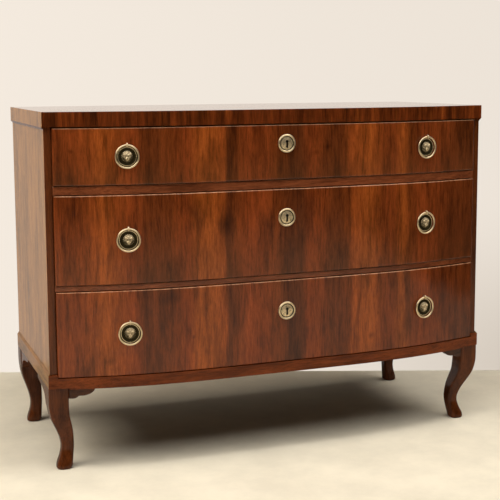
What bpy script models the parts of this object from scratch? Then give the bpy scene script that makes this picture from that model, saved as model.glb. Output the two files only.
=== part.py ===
"""Bow-fronted chest of three drawers on cabriole legs, with ring pulls and locks.

Metres, +Z up. The front faces -Y, and the origin is on the floor under the middle of the whole
chest. The drawer fronts, rails and base share one bowed plan, and each piece is its own solid.
"""
from math import atan2, cos, pi, radians, sin

import bmesh
import bpy
from mathutils import Matrix, Vector

# Whole chest
CARCASS_WIDTH = 1.200
CARCASS_DEPTH = 0.475
OVERALL_HEIGHT = 0.890
FIT_GAP = 0.0003
CUT_OVERRUN = 0.004
WELD_DISTANCE = 0.00001
SHARP_ANGLE = radians(36)

# Bowed plan shared by the fronts, rails, base and top
BOW_DEPTH = 0.056
BOW_POWER = 2.0
BOW_FULLNESS = 1.2
BOW_SEGMENTS = 20
ROUNDING_STEPS = 2

# Carcass boards
SIDE_THICKNESS = 0.018
BACK_THICKNESS = 0.014
BACK_BOARDS = 4
BACK_GROOVE = 0.004
TOP_THICKNESS = 0.036
TOP_SIDE_OVERHANG = 0.0045
TOP_FRONT_OVERHANG = 0.006
TOP_ROUNDING = 0.0015
COVE_HEIGHT = 0.007
COVE_STEPS = 4

# Base frame
FRAME_BOTTOM = 0.2163
FRAME_HEIGHT = 0.0329
FRAME_PROUD = 0.0045
FRAME_FRONT_PROUD = 0.006
FRAME_FRONT_DROP = 0.0033
FRAME_FRONT_THICKNESS = 0.024
FRAME_BACK_THICKNESS = 0.024
FRAME_LIP_HEIGHT = 0.0063
FRAME_ROUNDING = 0.0012
BOTTOM_BOARD_THICKNESS = 0.008

# Drawer fronts, stacked down from the top with a rail in each gap
FRONT_HEIGHT_SHARES = (0.2432, 0.3846, 0.3722)
RAIL_GAPS = (0.0243, 0.0160)
TOP_FRONT_GAP = 0.0030
LOW_FRONT_DROP = 0.0067
FRONT_CLEARANCE = 0.0013
DRAWER_PROUD = 0.005
FRONT_THICKNESS = 0.022
FRONT_ROUNDING = 0.0022
FRONT_SIDE_CLEARANCE = 0.001

# Rails and runners
RAIL_BACK = 0.045
RAIL_ROUNDING = 0.001
RUNNER_WIDTH = 0.020
RUNNER_HEIGHT = 0.012
LOW_RUNNER_WIDTH = 0.024

# Drawer boxes
BOX_SIDE_CLEARANCE = 0.0015
BOX_SIDE_THICKNESS = 0.012
BOX_BACK_THICKNESS = 0.010
BOX_BACK_CLEARANCE = 0.008
BOX_TOP_DROP = 0.006
PANEL_THICKNESS = 0.006
PANEL_RISE = 0.008
PANEL_GROOVE = 0.004
TAIL_COUNTS = (3, 5, 5)
TAIL_LENGTH = 0.013
TAIL_WIDTH_SHARE = 0.42
TAIL_SLOPE = 0.18

# Cabriole legs. Shares: place up the leg, sweep of its outer faces, width, corner rounding
LEG_WIDTH = 0.050
LEG_SWEEP = 0.0357
LEG_RINGS = 16
LEG_CORNER_STEPS = 3
LEG_SHARES = (
    (1.00, 0.00, 1.00, 0.08),
    (0.83, 0.00, 0.99, 0.09),
    (0.74, 0.05, 0.97, 0.10),
    (0.65, 0.16, 0.93, 0.12),
    (0.56, 0.37, 0.88, 0.14),
    (0.46, 0.65, 0.79, 0.17),
    (0.37, 0.87, 0.69, 0.21),
    (0.28, 1.00, 0.63, 0.25),
    (0.21, 0.98, 0.63, 0.28),
    (0.14, 0.86, 0.68, 0.32),
    (0.07, 0.67, 0.77, 0.36),
    (0.02, 0.61, 0.78, 0.40),
    (0.00, 0.68, 0.66, 0.42),
)
FRONT_LEG_SWEEP_SHARES = (1.0, 1.0)
BACK_LEG_SWEEP_SHARES = (0.75, 0.30)

# Shaped brackets beside the legs, as shares of length and drop
SIDE_BRACKET_LENGTH = 0.115
SIDE_BRACKET_DROP = 0.054
SIDE_BRACKET_THICKNESS = 0.020
SIDE_BRACKET_SETBACK = 0.0015
SIDE_BRACKET_SHARES = (
    (0.00, 1.00), (0.06, 0.93), (0.11, 0.76), (0.17, 0.60), (0.28, 0.47),
    (0.50, 0.36), (0.76, 0.29), (1.00, 0.20),
)
EAR_LENGTH = 0.063
EAR_DROP = 0.0255
EAR_THICKNESS = 0.020
EAR_SETBACK = 0.002
EAR_SHARES = (
    (0.00, 1.00), (0.18, 1.00), (0.25, 0.96), (0.31, 0.86), (0.36, 0.77), (0.42, 0.75),
    (0.56, 0.74), (0.66, 0.69), (0.78, 0.59), (0.88, 0.44), (0.95, 0.27), (0.97, 0.12),
    (1.00, 0.12),
)

# Ring pulls, each set in from its side of the carcass
PULL_INSET = 0.1916
PULL_OFFSET = CARCASS_WIDTH / 2 - PULL_INSET
RING_RADIUS = 0.0275
RING_WIRE = 0.0025
RING_STANDOFF = 0.0065
RING_SEGMENTS = 20
WIRE_SIDES = 6
PLATE_RADIUS = 0.026
PLATE_EDGE = 0.0012
PLATE_FIELD = 0.0016
PLATE_RIM = 0.0031
PLATE_RIM_RADIUS = 0.0222
PLATE_RIM_WIDTH = 0.0034
PLATE_SEGMENTS = 20
MASK_RADIUS = 0.0145
MASK_HEIGHT = 0.0068
MUZZLE_RADIUS = 0.0058
MUZZLE_DROP = 0.0042
BROW_RADIUS = 0.0042
BROW_RISE = 0.0038
BROW_SPREAD = 0.0048
CHEEK_STEPS = 4
LUMP_SEGMENTS = 8
LUMP_RINGS = 5
MUZZLE_STRETCH_SHARES = (1.0, 1.0, 0.8)
BROW_STRETCH_SHARES = (1.0, 0.8, 0.7)
EYE_RADIUS = 0.0046
EYE_WIRE = 0.0016
EYE_SEGMENTS = 10
SHANK_RADIUS = 0.0025
SHANK_CLEARANCE = 0.0005
NUT_RADIUS = 0.007
NUT_HEIGHT = 0.003

# Escutcheons and locks
KEYHOLE_RISES = (0.022, 0.037, 0.027)
SHIELD_RADIUS = 0.0235
SHIELD_RIM_RADIUS = 0.0205
SHIELD_RIM_HEIGHT = 0.0042
SHIELD_GROOVE_RADIUS = 0.0178
SHIELD_GROOVE_HEIGHT = 0.0014
SHIELD_DOME_HEIGHT = 0.0034
SHIELD_SEGMENTS = 20
SHIELD_DOME_SHARES = (0.0, 0.55, 0.85)
SHIELD_RIM_STEPS = 4
KEYHOLE_RADIUS = 0.0030
KEYHOLE_SLOT = 0.0034
KEYHOLE_LENGTH = 0.0125
KEYHOLE_STEPS = 10
KEYHOLE_FOOT_STEPS = 4
LOCK_WIDTH = 0.060
LOCK_THICKNESS = 0.010
LOCK_BELOW_KEY = 0.020
BOLT_WIDTH = 0.018
BOLT_THICKNESS = 0.005
BOLT_THROW = 0.007
BOLT_ABOVE_KEY = 0.012
BOLT_POCKET_MARGIN = 0.0015

# Sizes worked out from the ones above
HALF_WIDTH = CARCASS_WIDTH / 2
HALF_OPENING = HALF_WIDTH - SIDE_THICKNESS
FRAME_TOP = FRAME_BOTTOM + FRAME_HEIGHT
TOP_UNDERSIDE = OVERALL_HEIGHT - TOP_THICKNESS
FRONT_REACH = DRAWER_PROUD + BOW_DEPTH + FIT_GAP + SHIELD_RIM_HEIGHT
STILE_FRONT_Y = (FRONT_REACH - CARCASS_DEPTH) / 2
BOX_OUTER = HALF_OPENING - BOX_SIDE_CLEARANCE
BOX_INNER = BOX_OUTER - BOX_SIDE_THICKNESS
BOX_REAR = CARCASS_DEPTH - BACK_THICKNESS - BOX_BACK_CLEARANCE
FRAME_INNER = HALF_OPENING
SIDES = (("left", -1), ("right", 1))


def stacked_fronts():
    """Lower and upper edges of the drawer fronts, which share the height left by the gaps."""
    highest = TOP_UNDERSIDE - TOP_FRONT_GAP
    lowest = FRAME_TOP - LOW_FRONT_DROP
    shared = highest - lowest - sum(RAIL_GAPS)
    lows, highs = [], []
    high = highest
    for index, share in enumerate(FRONT_HEIGHT_SHARES):
        low = high - share * shared
        lows.append(low)
        highs.append(high)
        high = low - sum(RAIL_GAPS[index:index + 1])
    return tuple(lows), tuple(highs)


FRONT_LOWS, FRONT_HIGHS = stacked_fronts()

FINISHES = {
    "walnut_veneer": ((0.195, 0.062, 0.022, 1.0), 0.28, 0.0),
    "walnut_dark": ((0.105, 0.038, 0.018, 1.0), 0.32, 0.0),
    "pine": ((0.420, 0.270, 0.140, 1.0), 0.65, 0.0),
    "beech": ((0.480, 0.300, 0.150, 1.0), 0.60, 0.0),
    "brass": ((0.450, 0.330, 0.150, 1.0), 0.35, 1.0),
    "iron": ((0.150, 0.140, 0.130, 1.0), 0.50, 1.0),
}


def clear_scene():
    for obj in list(bpy.data.objects):
        bpy.data.objects.remove(obj, do_unlink=True)


def new_collection(name):
    collection = bpy.data.collections.new(name)
    bpy.context.scene.collection.children.link(collection)
    return collection


def finish_material(node_name, finish):
    colour, roughness, metallic = FINISHES[finish]
    material = bpy.data.materials.new(node_name)
    material.use_nodes = True
    shader = material.node_tree.nodes["Principled BSDF"]
    shader.inputs["Base Color"].default_value = colour
    shader.inputs["Roughness"].default_value = roughness
    shader.inputs["Metallic"].default_value = metallic
    material.diffuse_color = colour
    return material


clear_scene()
PARTS = new_collection("bow_front_chest")
CUTTERS = new_collection("cutters")


def add_empty(name, location, parent=None):
    empty = bpy.data.objects.new(name, None)
    PARTS.objects.link(empty)
    empty.location = location
    empty.parent = parent
    return empty


def add_part(name, mesh, finish, parent):
    """A finished piece with its own material, in the parts collection."""
    own_mesh = mesh if not mesh.materials else mesh.copy()
    own_mesh.materials.clear()
    own_mesh.materials.append(finish_material(name, finish))
    part = bpy.data.objects.new(name, own_mesh)
    PARTS.objects.link(part)
    part.parent = parent
    return part


def add_cutter(name, mesh, parent):
    cutter = bpy.data.objects.new(name, mesh)
    CUTTERS.objects.link(cutter)
    cutter.parent = parent
    cutter.hide_render = True
    cutter.display_type = "WIRE"
    return cutter


def combine(part, other, operation="DIFFERENCE"):
    modifier = part.modifiers.new(other.name, "BOOLEAN")
    modifier.operation = operation
    modifier.solver = "EXACT"
    modifier.object = other


def to_mesh(bm, name):
    bmesh.ops.recalc_face_normals(bm, faces=bm.faces)
    mesh = bpy.data.meshes.new(name)
    bm.to_mesh(mesh)
    bm.free()
    return mesh


def block_bmesh(low, high):
    bm = bmesh.new()
    bmesh.ops.create_cube(bm, size=1.0)
    low, high = Vector(low), Vector(high)
    bmesh.ops.scale(bm, vec=high - low, verts=bm.verts)
    bmesh.ops.translate(bm, vec=(high + low) / 2, verts=bm.verts)
    return bm


def block(name, low, high, rounding=0.0):
    """A squared board between two corners, its arrises eased by rounding."""
    bm = block_bmesh(low, high)
    if rounding:
        bmesh.ops.bevel(bm, geom=bm.edges[:], offset=rounding, segments=1, affect="EDGES")
    return to_mesh(bm, name)


def mirrored_span(sign, inner, outer):
    """Low and high x of a piece that lies from inner to outer on one side."""
    return tuple(sorted((sign * inner, sign * outer)))


def bow_at(x):
    share = min(abs(x) / HALF_WIDTH, 1.0)
    return BOW_DEPTH * max(cos(pi / 2 * share ** BOW_POWER), 0.0) ** BOW_FULLNESS


def bow_slope(x):
    step = CARCASS_WIDTH / (BOW_SEGMENTS * BOW_SEGMENTS)
    return (bow_at(x + step) - bow_at(x - step)) / (2 * step)


def bowed_bmesh(half_width, front, back, low, high, bow_back, rounding):
    """A straight board, sliced at places all boards share and pushed forward to the bowed plan."""
    bm = block_bmesh((-half_width, front, low), (half_width, back, high))
    if rounding:
        edges = [e for e in bm.edges if all(abs(v.co.y - front) < WELD_DISTANCE for v in e.verts)]
        bmesh.ops.bevel(bm, geom=edges, offset=rounding, segments=ROUNDING_STEPS, affect="EDGES")
    for index in range(1, BOW_SEGMENTS):
        x = HALF_WIDTH * (2 * index / BOW_SEGMENTS - 1)
        geometry = bm.verts[:] + bm.edges[:] + bm.faces[:]
        bmesh.ops.bisect_plane(bm, geom=geometry, dist=WELD_DISTANCE, plane_co=(x, 0, 0), plane_no=(1, 0, 0))
    for vert in bm.verts:
        if bow_back or vert.co.y < (front + back) / 2:
            vert.co.y -= bow_at(vert.co.x)
    return bm


def bowed_board(name, half_width, front, back, low, high, bow_back=True, rounding=0.0):
    return to_mesh(bowed_bmesh(half_width, front, back, low, high, bow_back, rounding), name)


def trim(bm, point, outward):
    """Saws a board off at a plane and closes the cut."""
    geometry = bm.verts[:] + bm.edges[:] + bm.faces[:]
    bmesh.ops.bisect_plane(
        bm, geom=geometry, dist=WELD_DISTANCE, plane_co=point, plane_no=outward, clear_outer=True
    )
    bmesh.ops.holes_fill(bm, edges=[e for e in bm.edges if e.is_boundary], sides=0)


# Columns of the matrices that stand a flat outline upright
ACROSS_X = Matrix(((0, 0, 1, 0), (1, 0, 0, 0), (0, 1, 0, 0), (0, 0, 0, 1)))
ACROSS_Y = Matrix(((1, 0, 0, 0), (0, 0, -1, 0), (0, 1, 0, 0), (0, 0, 0, 1)))


def outline_mesh(name, points, start, end, stand):
    """A flat outline thickened from start to end along the axis that stand gives it."""
    curve = bpy.data.curves.new(name, "CURVE")
    curve.dimensions = "2D"
    curve.fill_mode = "BOTH"
    curve.extrude = abs(end - start) / 2
    spline = curve.splines.new("POLY")
    spline.points.add(len(points) - 1)
    for point, (across, up) in zip(spline.points, points):
        point.co = (across, up, 0, 1)
    spline.use_cyclic_u = True
    guide = bpy.data.objects.new(name, curve)
    CUTTERS.objects.link(guide)
    bpy.context.view_layer.update()
    mesh = bpy.data.meshes.new_from_object(guide.evaluated_get(bpy.context.evaluated_depsgraph_get()))
    bpy.data.objects.remove(guide)
    bm = bmesh.new()
    bm.from_mesh(mesh)
    bpy.data.meshes.remove(mesh)
    bmesh.ops.remove_doubles(bm, verts=bm.verts, dist=WELD_DISTANCE)
    bmesh.ops.transform(bm, matrix=stand, verts=bm.verts)
    axis = stand.to_3x3() @ Vector((0, 0, 1))
    middle = (start + end) / 2
    shift = Vector((abs(axis.x), abs(axis.y), abs(axis.z))) * middle
    bmesh.ops.translate(bm, vec=shift, verts=bm.verts)
    return to_mesh(bm, name)


def turned(name, profile, segments):
    """A profile of radius and height, from the top of the outer side down, spun about local Z."""
    mesh = bpy.data.meshes.new(name)
    verts = [(radius, 0, height) for radius, height in profile]
    mesh.from_pydata(verts, [(i, i + 1) for i in range(len(verts) - 1)], [])
    obj = bpy.data.objects.new(name, mesh)
    CUTTERS.objects.link(obj)
    obj.hide_render = True
    screw = obj.modifiers.new("spin", "SCREW")
    screw.axis = "Z"
    screw.steps = segments
    screw.render_steps = segments
    screw.use_merge_vertices = True
    screw.merge_threshold = WELD_DISTANCE
    return obj


def baked(obj):
    """The mesh that an object's modifiers give, and the object itself is taken away."""
    bpy.context.view_layer.update()
    mesh = bpy.data.meshes.new_from_object(obj.evaluated_get(bpy.context.evaluated_depsgraph_get()))
    mesh.materials.clear()
    bpy.data.objects.remove(obj)
    return mesh


def smooth(part, angle=SHARP_ANGLE):
    part.data.shade_smooth()
    part.data.set_sharp_from_angle(angle=angle)


def through_points(keys, count):
    """Places spaced evenly along a smooth curve through hand-chosen keys."""
    def value(position):
        index = min(int(position), len(keys) - 2)
        t = position - index
        before = keys[max(index - 1, 0)]
        start, end = keys[index], keys[index + 1]
        after = keys[min(index + 2, len(keys) - 1)]
        row = []
        for a, b, c, d in zip(before, start, end, after):
            bend = (2 * a - 5 * b + 4 * c - d) * t ** 2 + (3 * b - a - 3 * c + d) * t ** 3
            row.append((2 * b + (c - a) * t + bend) / 2)
        return row
    return [value((len(keys) - 1) * step / count) for step in range(count + 1)]


CHEST = add_empty("chest", (0, STILE_FRONT_Y, 0))


# Carcass

def cove_outline(sign):
    """Hollow moulding under the overhang of the top, seen from the front."""
    face = HALF_WIDTH + FIT_GAP
    edge = HALF_WIDTH + TOP_SIDE_OVERHANG
    points = [(face, TOP_UNDERSIDE + WELD_DISTANCE), (edge, TOP_UNDERSIDE + WELD_DISTANCE)]
    for step in range(COVE_STEPS + 1):
        turn = pi / 2 * step / COVE_STEPS
        x = edge - (edge - face - FIT_GAP) * sin(turn)
        z = TOP_UNDERSIDE - COVE_HEIGHT * (1 - cos(turn))
        points.append((x, z))
    points.append((face, TOP_UNDERSIDE - COVE_HEIGHT))
    return [(sign * x, z) for x, z in points[::sign]]


def make_top():
    overhang = TOP_SIDE_OVERHANG
    bm = bowed_bmesh(
        HALF_WIDTH + overhang, -TOP_FRONT_OVERHANG, CARCASS_DEPTH, TOP_UNDERSIDE, OVERALL_HEIGHT,
        False, 0.0
    )
    upper = [
        e for e in bm.edges
        if e.calc_face_angle(0) > pi / 4
        and all(abs(v.co.z - OVERALL_HEIGHT) < WELD_DISTANCE for v in e.verts)
    ]
    bmesh.ops.bevel(bm, geom=upper, offset=TOP_ROUNDING, segments=ROUNDING_STEPS, affect="EDGES")
    top = add_part("top_board", to_mesh(bm, "top_board"), "walnut_veneer", CHEST)
    for name, sign in SIDES:
        mesh = outline_mesh("cove", cove_outline(sign), 0, CARCASS_DEPTH, ACROSS_Y)
        combine(top, add_cutter("cove_" + name, mesh, CHEST), "UNION")
    combine(top, bolt_pocket(1, TOP_UNDERSIDE))
    smooth(top)


def make_sides():
    for name, sign in SIDES:
        low_x, high_x = mirrored_span(sign, HALF_OPENING, HALF_WIDTH)
        mesh = block(
            "side", (low_x, 0, FRAME_TOP + FIT_GAP), (high_x, CARCASS_DEPTH, TOP_UNDERSIDE - FIT_GAP),
            RAIL_ROUNDING
        )
        add_part("side_" + name, mesh, "walnut_veneer", CHEST)


def make_back():
    """Upright pine boards, their joints shown by a groove outside."""
    half = HALF_OPENING - FIT_GAP
    low, high = FRAME_TOP + FIT_GAP, TOP_UNDERSIDE - FIT_GAP
    mesh = block("back", (-half, CARCASS_DEPTH - BACK_THICKNESS, low), (half, CARCASS_DEPTH, high))
    back = add_part("back_panel", mesh, "pine", CHEST)
    for index in range(1, BACK_BOARDS):
        x = half * (2 * index / BACK_BOARDS - 1)
        bm = block_bmesh(
            (-BACK_GROOVE / 2, -BACK_GROOVE / 2, low - CUT_OVERRUN),
            (BACK_GROOVE / 2, BACK_GROOVE / 2, high + CUT_OVERRUN)
        )
        bmesh.ops.rotate(bm, cent=(0, 0, 0), matrix=Matrix.Rotation(pi / 4, 3, "Z"), verts=bm.verts)
        bmesh.ops.translate(bm, vec=(x, CARCASS_DEPTH, 0), verts=bm.verts)
        combine(back, add_cutter("board_joint", to_mesh(bm, "board_joint"), CHEST))


def rail_levels(number):
    """Underside and top of the rail under a drawer, the same gap from both fronts."""
    return FRONT_HIGHS[number] + FRONT_CLEARANCE, FRONT_LOWS[number - 1] - FRONT_CLEARANCE


def make_rails():
    half = HALF_OPENING - FIT_GAP
    for number, name in ((1, "rail_upper"), (2, "rail_lower")):
        low, high = rail_levels(number)
        mesh = bowed_board(name, half, 0, RAIL_BACK, low, high, False, RAIL_ROUNDING)
        rail = add_part(name, mesh, "walnut_dark", CHEST)
        combine(rail, bolt_pocket(number + 1, low))
        smooth(rail)


def make_runners():
    for number in (1, 2):
        top = rail_levels(number)[1]
        for name, sign in SIDES:
            outer = HALF_OPENING - FIT_GAP
            low_x, high_x = mirrored_span(sign, outer - RUNNER_WIDTH, outer)
            rear = CARCASS_DEPTH - BACK_THICKNESS - FIT_GAP
            low, high = (low_x, RAIL_BACK + FIT_GAP, top - RUNNER_HEIGHT), (high_x, rear, top)
            add_part(f"runner_{number}_{name}", block("runner", low, high), "beech", CHEST)
    top = FRONT_LOWS[2] - FRONT_CLEARANCE
    for name, sign in SIDES:
        outer = FRAME_INNER - FIT_GAP
        low_x, high_x = mirrored_span(sign, outer - LOW_RUNNER_WIDTH, outer)
        front = FRAME_FRONT_THICKNESS - FRAME_FRONT_PROUD + FIT_GAP
        rear = CARCASS_DEPTH - FRAME_BACK_THICKNESS - FIT_GAP
        base = FRAME_BOTTOM + BOTTOM_BOARD_THICKNESS + FIT_GAP
        mesh = block("runner", (low_x, front, base), (high_x, rear, top))
        add_part("runner_3_" + name, mesh, "beech", CHEST)


def make_bottom_board():
    half = FRAME_INNER - FIT_GAP
    front = FRAME_FRONT_THICKNESS - FRAME_FRONT_PROUD + FIT_GAP
    rear = CARCASS_DEPTH - FRAME_BACK_THICKNESS - FIT_GAP
    mesh = bowed_board(
        "bottom", half, front, rear, FRAME_BOTTOM, FRAME_BOTTOM + BOTTOM_BOARD_THICKNESS, False
    )
    add_part("carcass_bottom", mesh, "pine", CHEST)


# Base frame, mitred at the front corners

def mitre(sign, keeps_front):
    """Point and outward normal of the saw cut at a front corner."""
    corner = Vector((sign * (HALF_WIDTH + FRAME_PROUD), -FRAME_FRONT_PROUD, 0))
    outward = Vector((sign, 1, 0)).normalized() if keeps_front else Vector((-sign, -1, 0)).normalized()
    return corner - outward * (FIT_GAP / 2), outward


def make_frame():
    half = HALF_WIDTH + FRAME_PROUD
    back = FRAME_FRONT_THICKNESS - FRAME_FRONT_PROUD
    bm = bowed_bmesh(
        half, -FRAME_FRONT_PROUD, back, FRAME_BOTTOM - FRAME_FRONT_DROP, FRAME_TOP, True, FRAME_ROUNDING
    )
    for name, sign in SIDES:
        trim(bm, *mitre(sign, True))
    front = add_part("frame_front", to_mesh(bm, "frame_front"), "walnut_veneer", CHEST)
    reach = BOW_DEPTH + FRAME_FRONT_PROUD + CUT_OVERRUN
    seat = block(
        "seat", (-HALF_OPENING, -reach, FRONT_LOWS[2] - FRONT_CLEARANCE),
        (HALF_OPENING, back + CUT_OVERRUN, FRAME_TOP + CUT_OVERRUN)
    )
    combine(front, add_cutter("drawer_seat", seat, CHEST))
    for name, sign in SIDES:
        low_x, high_x = mirrored_span(sign, half - LEG_WIDTH - FIT_GAP, half + CUT_OVERRUN)
        step = block(
            "step", (low_x, -reach, FRAME_BOTTOM - FRAME_FRONT_DROP - CUT_OVERRUN),
            (high_x, back + CUT_OVERRUN, FRAME_BOTTOM)
        )
        combine(front, add_cutter("leg_seat_" + name, step, CHEST))
    smooth(front)
    for name, sign in SIDES:
        outline = [
            (half, FRAME_BOTTOM), (half, FRAME_TOP),
            (HALF_WIDTH + FIT_GAP + WELD_DISTANCE, FRAME_TOP + FRAME_LIP_HEIGHT),
            (HALF_WIDTH + FIT_GAP, FRAME_TOP + FRAME_LIP_HEIGHT),
            (HALF_WIDTH + FIT_GAP, FRAME_TOP), (FRAME_INNER, FRAME_TOP), (FRAME_INNER, FRAME_BOTTOM),
        ]
        points = [(sign * x, z) for x, z in outline]
        bm = bmesh.new()
        bm.from_mesh(outline_mesh("rail", points, -FRAME_FRONT_PROUD, CARCASS_DEPTH, ACROSS_Y))
        trim(bm, *mitre(sign, False))
        add_part("frame_" + name, to_mesh(bm, "frame_side"), "walnut_veneer", CHEST)
    inner = FRAME_INNER - FIT_GAP
    rear = block(
        "rear", (-inner, CARCASS_DEPTH - FRAME_BACK_THICKNESS, FRAME_BOTTOM),
        (inner, CARCASS_DEPTH, FRAME_TOP), FRAME_ROUNDING
    )
    add_part("frame_back", rear, "pine", CHEST)


# Legs and brackets

def leg_section(width, corner):
    """Square with rounded corners, its outer corner at the origin, running inwards."""
    points = []
    centres = ((corner, corner), (width - corner, corner), (width - corner, width - corner),
               (corner, width - corner))
    for quarter, (across, along) in enumerate(centres):
        for step in range(LEG_CORNER_STEPS):
            turn = pi + pi / 2 * (quarter + step / (LEG_CORNER_STEPS - 1))
            points.append((across + corner * cos(turn), along + corner * sin(turn)))
    return points


def leg_bmesh(sign_x, sign_y, outer_y, sweep_shares):
    """Sections lofted down the S-shaped sweep, square at the knee and rounder at the foot."""
    height = FRAME_BOTTOM - FIT_GAP
    share_x, share_y = sweep_shares
    bm = bmesh.new()
    rings = []
    for place, sweep, width, corner in through_points(LEG_SHARES, LEG_RINGS):
        wide = width * LEG_WIDTH
        inset = sweep * LEG_SWEEP
        ring = []
        for across, along in leg_section(wide, corner * wide):
            x = sign_x * (HALF_WIDTH + FRAME_PROUD - share_x * inset - across)
            y = outer_y + sign_y * (share_y * inset + along)
            ring.append(bm.verts.new((x, y, max(place, 0.0) * height)))
        rings.append(ring)
    count = len(rings[0])
    for upper, lower in zip(rings, rings[1:]):
        for index in range(count):
            following = (index + 1) % count
            bm.faces.new((upper[index], upper[following], lower[following], lower[index]))
    bm.faces.new(rings[0])
    bm.faces.new(rings[-1])
    return bm


def make_legs():
    rows = (
        ("front", 1, -FRAME_PROUD, FRONT_LEG_SWEEP_SHARES),
        ("back", -1, CARCASS_DEPTH, BACK_LEG_SWEEP_SHARES),
    )
    for row, sign_y, outer_y, sweep_shares in rows:
        for name, sign_x in SIDES:
            mesh = to_mesh(leg_bmesh(sign_x, sign_y, outer_y, sweep_shares), "leg")
            leg = add_part(f"leg_{row}_{name}", mesh, "walnut_dark", CHEST)
            combine(leg, add_cutter("bracket", side_bracket(sign_x, sign_y, outer_y), CHEST), "UNION")
            smooth(leg)


def side_bracket(sign_x, sign_y, outer_y):
    """Swept bracket that carries the curve of the leg up under the side of the frame."""
    top = FRAME_BOTTOM - FIT_GAP
    root = LEG_WIDTH / 2
    start = LEG_WIDTH - WELD_DISTANCE
    points = [(root, top), (root, top - SIDE_BRACKET_DROP)]
    for along, drop in SIDE_BRACKET_SHARES:
        points.append((start + along * SIDE_BRACKET_LENGTH, top - drop * SIDE_BRACKET_DROP))
    points.append((start + SIDE_BRACKET_LENGTH, top))
    points = [(outer_y + sign_y * y, z) for y, z in points]
    outer = HALF_WIDTH + FRAME_PROUD - SIDE_BRACKET_SETBACK
    low_x, high_x = mirrored_span(sign_x, outer - SIDE_BRACKET_THICKNESS, outer)
    return outline_mesh("bracket", points, low_x, high_x, ACROSS_X)


def make_ears():
    """Shaped ears that start flush with the leg and bow forward under the front rail."""
    top = FRAME_BOTTOM - FRAME_FRONT_DROP - FIT_GAP
    start = HALF_WIDTH + FRAME_PROUD - LEG_WIDTH - FIT_GAP
    front = -FRAME_FRONT_PROUD + EAR_SETBACK
    for name, sign in SIDES:
        points = [(start, top)]
        points += [(start - along * EAR_LENGTH, top - drop * EAR_DROP) for along, drop in EAR_SHARES]
        points.append((start - EAR_LENGTH, top))
        points = [(sign * x, z) for x, z in points]
        mesh = outline_mesh("ear", points, front, front + EAR_THICKNESS, ACROSS_Y)
        for vert in mesh.vertices:
            vert.co.y -= bow_at(vert.co.x) - bow_at(start)
        add_part("ear_front_" + name, mesh, "walnut_dark", CHEST)


# Drawers

def tail_edge(root, direction, length, low, high, count, ease):
    """Points up one end of a board, with a dovetail in the middle of each pitch."""
    pitch = (high - low) / count
    points = []
    for index in range(count):
        centre = low + pitch * (index + 0.5)
        narrow = pitch * TAIL_WIDTH_SHARE / 2 + ease
        wide = narrow + TAIL_SLOPE * length
        tip = root + direction * length
        points += [(root, centre - narrow), (tip, centre - wide)]
        points += [(tip, centre + wide), (root, centre + narrow)]
    return points


def drawer_levels(index):
    """Foot of the drawer's box, its top, and the top face of its bottom panel."""
    foot = FRONT_LOWS[index] - FRONT_CLEARANCE + FIT_GAP
    return foot, FRONT_HIGHS[index] - BOX_TOP_DROP, foot + PANEL_RISE + PANEL_THICKNESS


def box_shoulder():
    """Where the drawer sides butt on the front, level with the front's back at their inner face."""
    return FRONT_THICKNESS - DRAWER_PROUD - bow_at(BOX_INNER)


def make_drawer_side(index, name, sign, groove, parent):
    foot, top, panel_top = drawer_levels(index)
    shoulder = box_shoulder() + FIT_GAP
    rear_root = BOX_REAR - BOX_BACK_THICKNESS
    count = TAIL_COUNTS[index]
    points = [(shoulder, foot)]
    points += tail_edge(shoulder, -1, TAIL_LENGTH, foot, top, count, 0)
    points += [(shoulder, top), (rear_root, top)]
    points += tail_edge(rear_root, 1, BOX_BACK_THICKNESS, panel_top, top, count, 0)[::-1]
    points.append((rear_root, foot))
    low_x, high_x = mirrored_span(sign, BOX_INNER, BOX_OUTER)
    mesh = outline_mesh("side", points, low_x, high_x, ACROSS_X)
    side = add_part(f"drawer_{index + 1}_side_{name}", mesh, "beech", parent)
    combine(side, groove)


def socket_cutter(index, sign, parent, at_front):
    """The shape that a drawer side's dovetails need in the front or the back board."""
    foot, top, panel_top = drawer_levels(index)
    count = TAIL_COUNTS[index]
    if at_front:
        root, direction, length = box_shoulder(), -1, TAIL_LENGTH + FIT_GAP
        low, high = foot, top
        clear = root + FRONT_THICKNESS
    else:
        root, direction = BOX_REAR - BOX_BACK_THICKNESS - FIT_GAP, 1
        length = BOX_BACK_THICKNESS + CUT_OVERRUN
        low, high = panel_top, top
        clear = root - FRONT_THICKNESS
    points = [(root, low - CUT_OVERRUN)]
    points += tail_edge(root, direction, length, low, high, count, FIT_GAP)
    points += [(root, high + CUT_OVERRUN), (clear, high + CUT_OVERRUN), (clear, low - CUT_OVERRUN)]
    low_x, high_x = mirrored_span(sign, BOX_INNER - FIT_GAP, BOX_OUTER + CUT_OVERRUN)
    return add_cutter("sockets", outline_mesh("sockets", points, low_x, high_x, ACROSS_X), parent)


def keyhole_outline(centre_z):
    """Round eye over a straight slot with a rounded foot."""
    meet = (KEYHOLE_RADIUS ** 2 - (KEYHOLE_SLOT / 2) ** 2) ** 0.5
    start = atan2(-meet, KEYHOLE_SLOT / 2)
    sweep = 2 * pi + atan2(-meet, -KEYHOLE_SLOT / 2) - start
    if sweep > 2 * pi:
        sweep -= 2 * pi
    points = []
    for step in range(KEYHOLE_STEPS + 1):
        turn = start + sweep * step / KEYHOLE_STEPS
        points.append((KEYHOLE_RADIUS * cos(turn), centre_z + KEYHOLE_RADIUS * sin(turn)))
    foot = centre_z - KEYHOLE_LENGTH + KEYHOLE_SLOT / 2
    for step in range(KEYHOLE_FOOT_STEPS + 1):
        turn = pi + pi * step / KEYHOLE_FOOT_STEPS
        points.append((KEYHOLE_SLOT / 2 * cos(turn), foot + KEYHOLE_SLOT / 2 * sin(turn)))
    return points


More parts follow.
